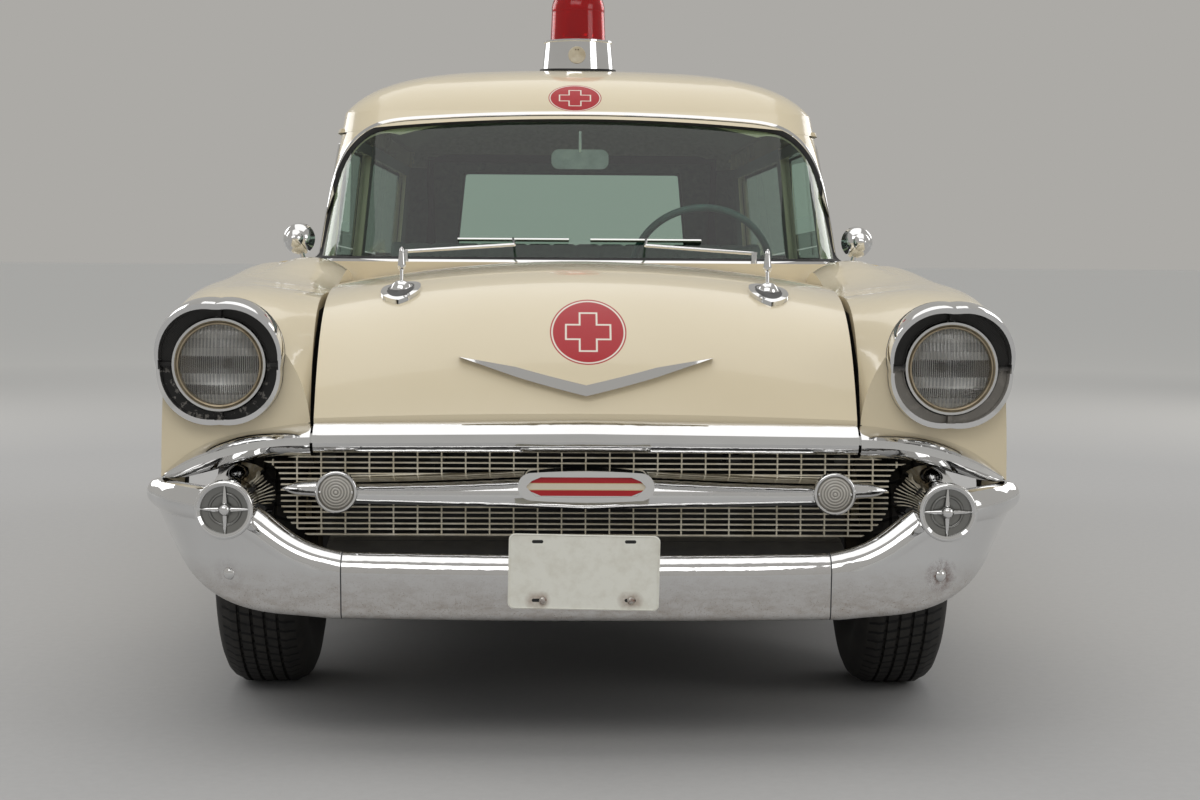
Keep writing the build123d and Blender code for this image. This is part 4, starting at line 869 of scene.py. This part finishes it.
def pane_outlines(node):
    """Closed edge paths of a pane's outer face, longest first."""
    work = bmesh.new()
    work.from_mesh(NODES[node].data)
    bmesh.ops.remove_doubles(work, verts=work.verts, dist=0.0001)
    outer = set()
    for face in work.faces:
        out = face.calc_center_median() - CABIN_MIDDLE
        if face.normal.dot(out.normalized()) > 0.35:
            outer.add(face)
    links = {}
    for edge in work.edges:
        if sum(face in outer for face in edge.link_faces) == 1:
            first, last = [vert.index for vert in edge.verts]
            links.setdefault(first, set()).add(last)
            links.setdefault(last, set()).add(first)
    places = {vert.index: vert.co.copy() for vert in work.verts}
    work.free()
    loops = []
    while links:
        chain = [next(iter(links))]
        while True:
            onward = [index for index in sorted(links[chain[-1]]) if index in links and index not in chain]
            if not onward:
                break
            chain.append(onward[0])
        for index in chain:
            links.pop(index, None)
        if len(chain) > 3:
            loops.append([places[index] for index in chain])
    loops.sort(key=lambda loop: -sum((a - b).length for a, b in zip(loop, loop[1:])))
    return loops


# Crown of each front fender, carried smoothly on from the skin round it
def skin_heights(node, xs, ys):
    """Heights of a node's upper face on a grid, with a mark where it was met."""
    heights = numpy.zeros((len(ys), len(xs)))
    known = numpy.zeros((len(ys), len(xs)), dtype=bool)
    for i, y in enumerate(ys):
        for j, x in enumerate(xs):
            met = hit([node], (x, y, 1.3), DOWN)
            if met and met[0].z > 0.94 and met[1].z > 0.5:
                heights[i, j] = met[0].z
                known[i, j] = True
    return heights, known


def fill_smoothly(heights, known):
    """Fills the gaps, and two cells round them, with heights near the mean of their neighbours."""
    firm = known.copy()
    for i, j in numpy.argwhere(~known):
        firm[max(i - 2, 0):i + 3, max(j - 2, 0):j + 3] = False
    order = {tuple(spot): index for index, spot in enumerate(numpy.argwhere(~firm))}
    rows = []
    sums = []
    for i in range(1, heights.shape[0] - 1):
        for j in range(1, heights.shape[1] - 1):
            spots = [((i, j), -4), ((i - 1, j), 1), ((i + 1, j), 1), ((i, j - 1), 1), ((i, j + 1), 1)]
            if not any(spot in order for spot, _ in spots):
                continue
            row = numpy.zeros(len(order))
            total = 0.0
            for spot, weight in spots:
                if spot in order:
                    row[order[spot]] = weight
                else:
                    total -= weight * heights[spot]
            rows.append(row)
            sums.append(total)
    solved = numpy.linalg.lstsq(numpy.array(rows), numpy.array(sums), rcond=None)[0]
    for spot, index in order.items():
        heights[spot] = solved[index]


def fender_crown(node, side):
    xs = [side * (0.636 + 0.007 * k) for k in range(22)]
    ys = [-1.424 + 0.008 * k for k in range(42)]
    heights, known = skin_heights(node, xs, ys)
    fill_smoothly(heights, known)
    last_i = len(ys) - 1
    last_j = len(xs) - 1
    top = []
    for i, y in enumerate(ys):
        lifts = [0.0001 * min(i, last_i - i, j, last_j - j, 5) for j in range(len(xs))]
        top.append([Vector((x, y, heights[i, j] + lifts[j])) for j, x in enumerate(xs)])
    under = [[point - Vector((0, 0, 0.0015)) for point in line] for line in top]
    rim = [(i, 0) for i in range(last_i + 1)] + [(last_i, j) for j in range(1, last_j + 1)]
    rim += [(i, last_j) for i in range(last_i - 1, -1, -1)] + [(0, j) for j in range(last_j - 1, 0, -1)]
    piece = Piece()
    piece.grid(top, PAINT)
    piece.grid(under, PAINT)
    piece.grid([[face[i][j] for i, j in rim] for face in (top, under)], PAINT, wrap_points=True)
    piece.done(f"{node}_crown", "chassis", sharp=60)
# Number plate, blank, bolted to the bumper's flat bar
def rounded_rows(width, height, radius, steps=6):
    rows = []
    for corner_x, corner_y, start in ((1, 1, 0), (-1, 1, 90), (-1, -1, 180), (1, -1, 270)):
        for k in range(steps + 1):
            turn = math.radians(start + 90 * k / steps)
            rows.append((corner_x * (width / 2 - radius) + radius * math.cos(turn),
                         corner_y * (height / 2 - radius) + radius * math.sin(turn)))
    return rows


def number_plate():
    piece = Piece()
    tilt = math.radians(-0.9)
    across = Vector((math.cos(tilt), 0, math.sin(tilt)))
    upward = Vector((-math.sin(tilt), 0, math.cos(tilt)))
    front = Vector(PLATE_PLACE) + FORWARD * 0.001
    enamel = plate_paint()
    outline = rounded_rows(PLATE_W, PLATE_H, 0.012)
    piece.slab(outline, PLATE_PLACE, across, upward, 0.0016, enamel)
    lip = [front + across * u * 0.985 + upward * v * 0.972 for u, v in outline]
    piece.tube(lip, 0.0012, enamel, closed=True, sides=8)
    bolt = [(0, -0.006), (0.005, -0.0055), (0.0075, -0.003), (0.008, 0), (0.0028, 0), (0.0028, 0.030),
            (0, 0.030)]
    spacer = [(0.0032, 0.0015), (0.009, 0.0015), (0.009, 0.0165), (0.0032, 0.0165), (0.0032, 0.0015)]
    for side in (-1, 1):
        spot = (side * PLATE_HOLE_X, front.y, PLATE_HOLE_Z)
        piece.turned(bolt, spot, REARWARD, RUSTY, 20)
        piece.turned(spacer, spot, REARWARD, UNDERBODY, 20)
    piece.done("number_plate", "chassis", sharp=40)


# Domed bolt heads on the bumper wings
def bumper_bolts():
    piece = Piece()
    head = [(0, 0.008), (0.006, 0.0072), (0.0115, 0.0035), (0.0135, 0), (0.0135, -0.002), (0, -0.002)]
    for side in (-1, 1):
        place, normal = hit(["front_bumper"], (side * BOLT_X, -3.0, BOLT_Z), REARWARD)
        piece.turned(head, place, normal, CHROME, 28)
    piece.done("bumper_bolts", "chassis")


# Headlamps and parking lamps: glass, bowl, rings and retaining screws
def headlamp_fronts():
    piece = Piece()
    dome = [(0.0835 * k / 12, 0.018 * (k / 12) ** 2) for k in range(13)]
    inner = [(radius, reach + 0.003) for radius, reach in reversed(dome)]
    turns = [math.radians(turn) for turn in range(0, 84, 6)]
    bowl = [(0.0835 * math.cos(turn), 0.026 + 0.052 * math.sin(turn)) for turn in turns] + [(0, 0.079)]
    ring = [(0.0838, 0.012), (0.0850, 0.007), (0.0880, 0.006), (0.0895, 0.010), (0.0897, 0.034),
            (0.0838, 0.034)]
    park = [(0, -0.0020), (0.012, -0.0018), (0.024, -0.0008), (0.034, 0.0022), (0.0377, 0.006),
            (0.0377, 0.0105), (0, 0.0105)]
    shield = [(0, 0.044), (0.008, 0.045), (0.011, 0.050), (0.011, 0.078), (0, 0.079)]
    screw = [(0, -0.002), (0.0022, -0.001), (0.0026, 0.001), (0, 0.001)]
    for side in (-1, 1):
        lamp = Vector((side * LAMP_X, FENDER_FRONT_Y - 0.038, LAMP_Z))
        piece.turned(dome + inner, lamp, REARWARD, FLUTED, 96)
        piece.turned(bowl, lamp, REARWARD, REFLECTOR, 72)
        piece.turned(shield, lamp, REARWARD, STEEL, 24)
        piece.turned(ring + ring[:1], lamp, REARWARD, BEIGE_RING, 96)
        piece.turned(park, (side * PARK_X, PARK_FRONT_Y, PARK_Z), REARWARD, PARK_LENS, 72)
        for end in (-1, 1):
            spot = (side * PARK_X + end * 0.0335, PARK_FRONT_Y + 0.001, PARK_Z)
            piece.turned(screw, spot, REARWARD, CHROME, 12)
    glass_piece = piece.done("headlamp_fronts", "chassis", sharp=50)
    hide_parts("headlamp_glass")


# Gaskets and bright frames round the panes
def frame_pane(node, panels, body, trim_width):
    panes = 2 if node == "quarter_glass" else 1
    half = trim_width / 2
    piece = Piece()
    for loop in pane_outlines(node)[:panes]:
        path = relax(resample(loop, 260, closed=True), 3)
        middle = sum(path, Vector()) / len(path)
        inner_low, inner_top, outer_top, outer_low, strip, strip_normals = [], [], [], [], [], []
        for i, point in enumerate(path):
            along = direction_at(path, i, True)
            _, normal, _, _ = tree_of(node).find_nearest(point.lerp(middle, 0.04))
            if normal.dot(point - CABIN_MIDDLE) < 0:
                normal = -normal
            out = along.cross(normal).normalized()
            if out.dot(point - middle) < 0:
                out = -out
            beside = point + out * (0.004 + half)
            place = beside + normal * 0.004
            met = hit(panels, beside + normal * 0.09, -normal)
            if met and abs((met[0] - point).dot(normal)) < 0.05:
                place = met[0]
            strip.append(place)
            strip_normals.append(normal)
            inner_low.append(point - out * GASKET_REACH - normal * 0.001)
            inner_top.append(point - out * (GASKET_REACH - 0.002) + normal * 0.0035)
            outer_top.append(place - out * trim_width * 0.35 + normal * 0.0025)
            outer_low.append(place - out * trim_width * 0.2 - normal * 0.004)
        rows = [list(row) for row in zip(inner_low, inner_top, relax(outer_top, 4), relax(outer_low, 4))]
        piece.grid(rows, GASKET, wrap_rows=True, wrap_points=True)
        profile = [(-half, -0.001), (-half * 0.75, 0.0035), (0, 0.005), (half * 0.75, 0.0035), (half, -0.001)]
        piece.ribbon(relax(strip, 4), strip_normals, profile, CHROME, closed=True)
    piece.done(f"{node}_frame", body, sharp=50)


# Wiper blades on the glass
def wiper_blades():
    piece = Piece()
    low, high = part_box("wipers")
    blade = [(-0.0016, 0.0005), (-0.0030, 0.008), (0.0030, 0.008), (0.0016, 0.0005)]
    spine = [(-0.0026, 0.008), (-0.0026, 0.0105), (0.0026, 0.0105), (0.0026, 0.008)]
    for side in (-1, 1):
        xs = [side * (0.03 + 0.31 * k / 16) for k in range(17)]
        places, normals = drape(["windscreen_glass"], [(x, -1.8, WIPER_Z) for x in xs], REARWARD)
        piece.ribbon(places, normals, blade, GASKET)
        piece.ribbon(places, normals, spine, CHROME)
        middle = places[8] + normals[8] * 0.011
        arm_end = Vector((side * 0.180, low[1] + 0.006, high[2] - 0.006))
        bend = arm_end.lerp(middle, 0.5) + Vector((0, -0.004, 0.002))
        piece.tube([arm_end, bend, middle], 0.0035, CHROME)
    piece.done("wiper_blades", "chassis")


# Beacon: rubber under the base, a lip at its top and a plain disc in front
def beacon_trim():
    low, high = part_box("beacon_base")
    centre_y = (low[1] + high[1]) / 2
    rubber = [(-0.006, -0.002), (-0.006, 0.006), (0.004, 0.007), (0.006, -0.002)]
    lip = [(0.1035, -0.009), (0.1085, -0.006), (0.1085, -0.001), (0.1035, 0.0005), (0.0985, 0.0005),
           (0.0985, -0.003), (0.1035, -0.009)]
    disc = [(0, 0.0022), (0.022, 0.0022), (0.0235, 0.0030), (0.0262, 0.0030), (0.027, 0.0015),
            (0.027, -0.0035), (0, -0.0035)]
    pin = [(0, 0.0018), (0.0016, 0.0010), (0.0019, 0), (0, 0)]
    piece = Piece()
    turns = [2 * math.pi * k / 72 for k in range(72)]
    starts = [(0.1155 * math.cos(turn), centre_y + 0.1155 * math.sin(turn), 2.2) for turn in turns]
    places, _ = drape(["roof"], starts, DOWN)
    piece.ribbon(places, [UP] * len(places), rubber, GASKET, closed=True)
    piece.turned(lip, (0, centre_y, high[2]), UP, CHROME, 72)
    place, normal = hit(["beacon_base"], (-0.004, -1.5, BADGE_Z), REARWARD)
    piece.turned(disc, place, normal, BADGE, 48)
    for side in (-1, 1):
        spot = place + Vector((side * 0.004, 0, 0.0165)) + normal * 0.002
        piece.turned(pin, spot, normal, STEEL, 10)
    piece.done("beacon_trim", "chassis", sharp=40)


# Bright strips, handles and rings on the sides and the back
def side_strips():
    spans = (("fender", -2.20, -1.06), ("door", -0.985, 0.285), ("side", 0.32, 2.33))
    profile = [(-0.011, -0.001), (-0.0095, 0.0035), (0, 0.0060), (0.0095, 0.0035), (0.011, -0.001)]
    for stem, front, rear in spans:
        for side, word in ((1, "left"), (-1, "right")):
            node = f"{stem}_{word}"
            starts = [(side * 1.6, front + (rear - front) * k / 39, STRIP_Z) for k in range(40)]
            places, normals = drape([node], starts, RIGHTWARD * -side)
            piece = Piece()
            piece.ribbon(places, normals, profile, CHROME)
            if stem == "door":
                door_handle(piece, node, side)
                vent_post(piece, f"door_glass_{word}", side)
            piece.done(f"{node}_trim", node if stem == "door" else "chassis", sharp=50)


def pull_bar(piece, place, normal, along, rows):
    """Bright bowed bar. Rows are (distance along, height off the surface)."""
    path = [place + along * reach + normal * height for reach, height in rows]
    piece.tube(resample(path, 28), 0.0068, CHROME, sides=12)


def door_handle(piece, node, side):
    place, normal = hit([node], (side * 1.6, 0.20, 0.865), RIGHTWARD * -side)
    pull_bar(piece, place, normal, REARWARD, [
        (-0.075, -0.002), (-0.072, 0.0156), (-0.055, 0.026), (0, 0.026), (0.050, 0.026), (0.060, 0.0156),
        (0.060, -0.002)])
    button = [(0, 0.022), (0.008, 0.021), (0.011, 0.016), (0.012, -0.002), (0, -0.002)]
    piece.turned(button, place + REARWARD * 0.078, normal, CHROME, 24)


def vent_post(piece, pane, side):
    low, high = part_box(pane)
    heights = [0.99 + 0.40 * k / 20 for k in range(21)]
    starts = [(side * 1.6, low[1] + 0.30, z) for z in heights if low[2] + 0.012 < z < high[2] - 0.012]
    places, normals = drape([pane], starts, RIGHTWARD * -side)
    profile = [(-0.008, -0.001), (-0.007, 0.004), (0.007, 0.004), (0.008, -0.001)]
    piece.ribbon(places, normals, profile, CHROME)


def rear_trim():
    low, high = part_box("tail_lamps")
    ring = [(0.0502, 0), (0.0502, 0.006), (0.054, 0.010), (0.060, 0.008), (0.062, 0), (0.0502, 0)]
    piece = Piece()
    for side in (-1, 1):
        piece.turned(ring, (side * TAIL_LAMP_X, low[1], TAIL_LAMP_Z), REARWARD, CHROME, 64)
    piece.done("tail_lamp_rings", "chassis", sharp=50)
    for node, height, half in (("tailgate", 0.86, 0.085), ("liftgate", 1.035, 0.05)):
        place, normal = hit([node], (0, 3.2, height), FORWARD)
        piece = Piece()
        pull_bar(piece, place, normal, RIGHTWARD, [
            (-half, 0), (-half * 0.95, 0.0168), (-half * 0.7, 0.024), (0, 0.024), (half * 0.7, 0.024),
            (half * 0.95, 0.0168), (half, 0)])
        piece.done(f"{node}_handle", node)
# Engine bay: panels beside the radiator, rocker covers, air cleaner, fan and top hose
def engine_bay():
    engine_low, engine_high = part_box("engine")
    radiator_low, radiator_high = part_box("radiator")
    front = engine_low[1]
    top = engine_high[2]
    core_back = radiator_high[1]
    baffles = Piece()
    covers = Piece()
    for side in (-1, 1):
        inner, outer = sorted((side * BAFFLE_IN_X, side * BAFFLE_OUT_X))
        baffles.block((inner, BAFFLE_Y - 0.002, BAFFLE_FOOT_Z), (outer, BAFFLE_Y, BAFFLE_TOP_Z), BLACK)
        low = (side * 0.165 - 0.055, front + 0.10, top - 0.001)
        high = (side * 0.165 + 0.055, front + 0.56, top + 0.045)
        covers.block(low, high, COVER_PAINT)
    baffles.done("radiator_baffles", "chassis", sharp=40)
    covers.done("rocker_covers", "chassis", sharp=40, bevel=0.012)
    cleaner = [(0, 0.094), (0.006, 0.093), (0.009, 0.084), (0.150, 0.082), (0.176, 0.078), (0.180, 0.070),
               (0.180, 0.032), (0.172, 0.026), (0.062, 0.024), (0.058, -0.001), (0, -0.001)]
    hub = [(0, 0.052), (0.040, 0.050), (0.046, 0.044), (0.046, 0.004), (0.030, -0.023), (0, -0.023)]
    cap = [(0, 0.020), (0.024, 0.019), (0.030, 0.014), (0.030, 0.008), (0.022, 0.006), (0.022, -0.001),
           (0, -0.001)]
    hose = [(0.14, core_back - 0.004, 0.755), (0.14, core_back + 0.03, 0.762), (0.10, front - 0.035, 0.835),
            (0.06, front + 0.035, 0.845), (0.05, front + 0.075, 0.830), (0.05, front + 0.080, top - 0.004)]
    piece = Piece()
    piece.turned(cleaner, (0, front + 0.34, top), UP, BLACK, 64)
    hub_place = (0, front - 0.022, 0.62)
    piece.turned(hub, hub_place, FORWARD, STEEL, 32)
    for k in range(4):
        turn = Matrix.Rotation(math.radians(20 + 90 * k), 4, "Y") @ Matrix.Rotation(math.radians(24), 4, "Z")
        low = (-0.032, front - 0.060, 0.655)
        piece.block(low, (0.032, front - 0.057, 0.810), STEEL, turn=turn, about=hub_place)
    piece.tube(resample(hose, 36), 0.023, GASKET, sides=16)
    cap_place = (0, (radiator_low[1] + core_back) / 2 + 0.015, radiator_high[2])
    piece.turned(cap, cap_place, UP, STEEL, 32)
    piece.done("engine_dressing", "chassis", sharp=40)


# Panel under the tailgate and the rubber seal behind the liftgate's edges
def rear_valance():
    section = [(2.330, 0.550), (2.338, 0.528), (2.356, 0.503), (2.392, 0.478), (2.440, 0.462), (2.494, 0.458)]
    section += [(y - 0.0015, z - 0.0025) for y, z in reversed(section)]
    piece = Piece()
    piece.skin([[Vector((x, y, z)) for y, z in section] for x in (-VALANCE_X, VALANCE_X)], PAINT)
    piece.done("rear_valance", "chassis", sharp=40)


def liftgate_seal():
    low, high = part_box("liftgate")
    piece = Piece()
    for side in (-1, 1):
        inner = side * (high[0] - 0.016)
        outer = side * (high[0] + 0.030)
        rows = []
        for k in range(25):
            z = low[2] + 0.004 + (high[2] - low[2] - 0.010) * k / 24
            met = hit(["liftgate"], (side * (high[0] - 0.020), 1.2, z), REARWARD)
            if met:
                back = met[0].y - SEAL_GAP
                section = ((inner, back), (outer, back), (outer, back - 0.004), (inner, back - 0.004))
                rows.append([Vector((x, y, z)) for x, y in section])
        piece.skin(rows, GASKET)
    place, _ = hit(["liftgate"], (0, 1.2, high[2] - 0.020), REARWARD)
    front = place.y - SEAL_GAP - 0.012
    half = high[0] + 0.03
    piece.block((-half, front - 0.004, high[2] - 0.016), (half, front, high[2] + 0.020), GASKET)
    piece.done("liftgate_seal", "chassis", sharp=40)


# Tyres with grooved treads
def tyres():
    for end, rubber in (("front", TREAD_FRONT), ("rear", TREAD_REAR)):
        for word in ("left", "right"):
            node = f"tyre_{end}_{word}"
            low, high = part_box(node)
            centre = (Vector(low) + Vector(high)) / 2
            outer = (high[2] - low[2]) / 2
            half = (high[0] - low[0]) / 2
            depths = [(0.0012, 0.060), (0.0065, 0.068), (0.012, 0.080), (0.022, 0.090),
                      (0.040, half - 0.0045), (0.062, half - 0.0004), (0.082, half - 0.001),
                      (0.104, half - 0.0065), (0.130, half - 0.018), (0.148, half - 0.027), (0.160, 0.0705)]
            wall = [(outer - depth, reach) for depth, reach in depths] + [(0.1785, 0.0695)]
            profile = [(radius, -reach) for radius, reach in reversed(wall)]
            for groove in (-0.044, -0.0148, 0.0148, 0.044):
                profile += [(outer - 0.0002, groove - 0.0038), (outer - 0.0075, groove - 0.0022),
                            (outer - 0.0075, groove + 0.0022), (outer - 0.0002, groove + 0.0038)]
            profile += wall
            piece = Piece()
            piece.turned(profile + profile[:1], centre, RIGHTWARD, rubber, 120)
            made = piece.done(f"{node}_tread", NODES[node]["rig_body"], sharp=32)
            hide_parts(node)


# Cabin: mirror, gauges and seat cushions
def cabin_fittings():
    piece = Piece()
    place = Vector((0.004, -0.52, 1.309))
    stem = [(0.004, -0.525, 1.330), (0.004, -0.530, 1.360), (0.004, -0.535, 1.392)]
    piece.slab(rounded_rows(0.170, 0.058, 0.022), place, RIGHTWARD, UP, 0.010, MIRROR_BACK)
    pane_place = place + REARWARD * 0.0056
    piece.slab(rounded_rows(0.162, 0.050, 0.020), pane_place, -RIGHTWARD, UP, 0.001, REFLECTOR)
    piece.tube(stem, 0.005, CHROME)
    piece.done("cabin_mirror", "chassis", sharp=40)
    gauges = Piece()
    for x, radius in ((0.37, 0.058), (0.25, 0.034), (0.49, 0.034)):
        spot, normal = hit(["dashboard"], (x, 0.2, 0.90), FORWARD)
        rim = [(0, 0.003), (radius - 0.006, 0.003), (radius - 0.005, 0.008), (radius, 0.006),
               (radius, -0.004), (0, -0.004)]
        face = [(0, 0.0042), (radius - 0.0065, 0.0042), (radius - 0.0065, 0.0030), (0, 0.0030)]
        gauges.turned(rim, spot, normal, CHROME, 48)
        gauges.turned(face, spot, normal, BLACK, 48)
        root = spot + normal * 0.006
        tip = root + Vector((radius * 0.4, 0, radius * 0.5))
        gauges.tube([root, tip], 0.0012, POINTER_WHITE, sides=6)
    gauges.done("dash_gauges", "chassis", sharp=40)


def pad(name, outline, most):
    """Cushion from a side outline (y, z), swollen as cloth under pressure and sewn in channels."""
    columns = 24
    xs = [SEAT_HALF_WIDTH * (k / columns * 2 - 1) for k in range(columns + 1)]
    piece = Piece()
    piece.skin([[Vector((x, y, z)) for y, z in outline] for x in xs], SEAT_VINYL)
    made = piece.done(name, "chassis", sharp=180)
    remesh = made.modifiers.new("voxels", "REMESH")
    remesh.mode = "VOXEL"
    remesh.voxel_size = 0.012
    settle(made)
    rest = [vert.co.copy() for vert in made.data.vertices]
    cloth = made.modifiers.new("cloth", "CLOTH")
    cloth.settings.use_pressure = True
    cloth.settings.uniform_pressure_force = 4
    cloth.settings.effector_weights.gravity = 0
    cloth.point_cache.frame_end = 20
    for step in range(1, 21):
        SCENE.frame_set(step)
    settle(made)
    SCENE.frame_set(1)
    foot = min(point.z for point in rest)
    for vert, before in zip(made.data.vertices, rest):
        shift = vert.co - before
        if shift.length > most:
            vert.co = before + shift.normalized() * most
        vert.co.z = max(vert.co.z, foot)
    finer = made.modifiers.new("finer", "SUBSURF")
    finer.levels = finer.render_levels = 1
    settle(made)
    normals = [vert.normal.copy() for vert in made.data.vertices]
    for vert, normal in zip(made.data.vertices, normals):
        phase = vert.co.x / SEAT_CHANNEL
        seam = abs(phase - round(phase)) * SEAT_CHANNEL
        facing = max(normal.z, -normal.y, 0.0)
        vert.co -= normal * SEAM_DEPTH * facing * max(0.0, 1 - seam / SEAM_WIDTH)
    made.data.materials.clear()
    made.data.materials.append(SEAT_VINYL)
    made.data.shade_smooth()
    return made


def settle(piece):
    """Puts a piece's modifiers into its mesh."""
    graph = bpy.context.evaluated_depsgraph_get()
    mesh = bpy.data.meshes.new_from_object(piece.evaluated_get(graph))
    piece.modifiers.clear()
    piece.data = mesh


def seat_cushions():
    low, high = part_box("seat")
    front = low[1]
    foot = low[2]
    base = [(0.012, 0.100), (0.012, 0.235), (0.040, 0.262), (0.120, 0.266), (0.300, 0.256), (0.455, 0.246),
            (0.470, 0.225), (0.470, 0.100)]
    back = [(0.480, 0.275), (0.565, 0.640), (0.585, 0.672), (0.605, 0.672), (0.617, 0.640), (0.545, 0.200),
            (0.500, 0.200)]
    first = pad("seat_base_pad", [(front + y, foot + z) for y, z in base], 0.014)
    pad("seat_back_pad", [(front + y, foot + z) for y, z in back], 0.010)
    plinth = Piece()
    plinth.block((-0.60, front + 0.03, foot), (0.60, front + 0.50, foot + 0.095), BLACK)
    plinth.done("seat_plinth", "chassis")
    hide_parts("seat")


fender_crown("fender_left", 1)
fender_crown("fender_right", -1)
number_plate()
bumper_bolts()
headlamp_fronts()
frame_pane("windscreen_glass", ["roof", "cowl", "door_left", "door_right"], "chassis", 0.016)
frame_pane("liftgate_glass", ["liftgate"], "liftgate", 0.012)
frame_pane("door_glass_left", ["door_left"], "door_left", 0.010)
frame_pane("door_glass_right", ["door_right"], "door_right", 0.010)
frame_pane("quarter_glass", ["side_left", "side_right", "roof"], "chassis", 0.012)
wiper_blades()
beacon_trim()
side_strips()
rear_trim()
engine_bay()
rear_valance()
liftgate_seal()
tyres()
cabin_fittings()
seat_cushions()


# Studio: pale floor and backdrop colour, soft lamps
FLOOR_TONE = linear(186, 183, 178)
FLOOR_FAR_TONE = (0.78, 0.74, 0.66)
FLOOR_NEAR = 4.5
FLOOR_FAR = 13.0
BACKDROP_TONE = linear(172, 170, 166)
SKY_TONE = (0.62, 0.65, 0.70)


def make_floor():
    bpy.ops.mesh.primitive_plane_add(size=400, location=(0, 0, 0))
    floor = bpy.context.object
    floor.name = "studio_floor"
    finish = Finish("studio_floor")
    darker = tuple(part * 0.86 for part in FLOOR_TONE)
    near = finish.mix(finish.noise(40, 6, 0.7), darker, FLOOR_TONE)
    far = reach_of(finish.x, finish.y).between(FLOOR_NEAR, FLOOR_FAR)
    finish.set(Base_Color=finish.mix(far, near, FLOOR_FAR_TONE), Roughness=0.85)
    floor.data.materials.append(finish.material)


def make_world():
    world = bpy.data.worlds.new("studio")
    world.use_nodes = True
    SCENE.world = world
    graph = Graph(world.node_tree)
    rays = graph.add("ShaderNodeLightPath", {}, {})
    kinds = ("Is Camera Ray", "Is Glossy Ray", "Is Transmission Ray")
    camera_ray, glossy_ray, through_ray = [Signal(graph, rays.outputs[kind]) for kind in kinds]
    seen = (camera_ray + glossy_ray + through_ray).clamped()
    sky = graph.node("ShaderNodeBackground", {}, {"Color": SKY_TONE, "Strength": 0.80})
    backdrop = graph.node("ShaderNodeBackground", {}, {"Color": BACKDROP_TONE, "Strength": 1.0})
    graph.show("World Output", graph.node("ShaderNodeMixShader", {}, {0: seen, 1: sky, 2: backdrop}))


def make_lamp(name, place, aim, size, power):
    data = bpy.data.lights.new(name, "AREA")
    data.shape = "RECTANGLE"
    data.size, data.size_y = size
    data.energy = power
    lamp = bpy.data.objects.new(name, data)
    lamp.location = place
    lamp.rotation_euler = (Vector(aim) - Vector(place)).to_track_quat("-Z", "Y").to_euler()
    SCENE.collection.objects.link(lamp)


make_floor()
make_world()
make_lamp("front_sky", (-1.5, -7.5, 6.0), (0, -1.8, 0.7), (7, 3), 130)
make_lamp("front_right", (6.5, -5.0, 3.2), (0.3, -1.5, 0.8), (3, 3), 55)
make_lamp("overhead", (0, 0.5, 6.5), (0, 0.5, 0), (6, 9), 150)
make_lamp("rear_left", (-6, 5, 4), (0, 1, 0.8), (4, 3), 90)
make_lamp("rear_right", (6, 6, 4), (0, 1, 0.8), (4, 3), 90)
make_camera()
SCENE.view_settings.view_transform = "Standard"
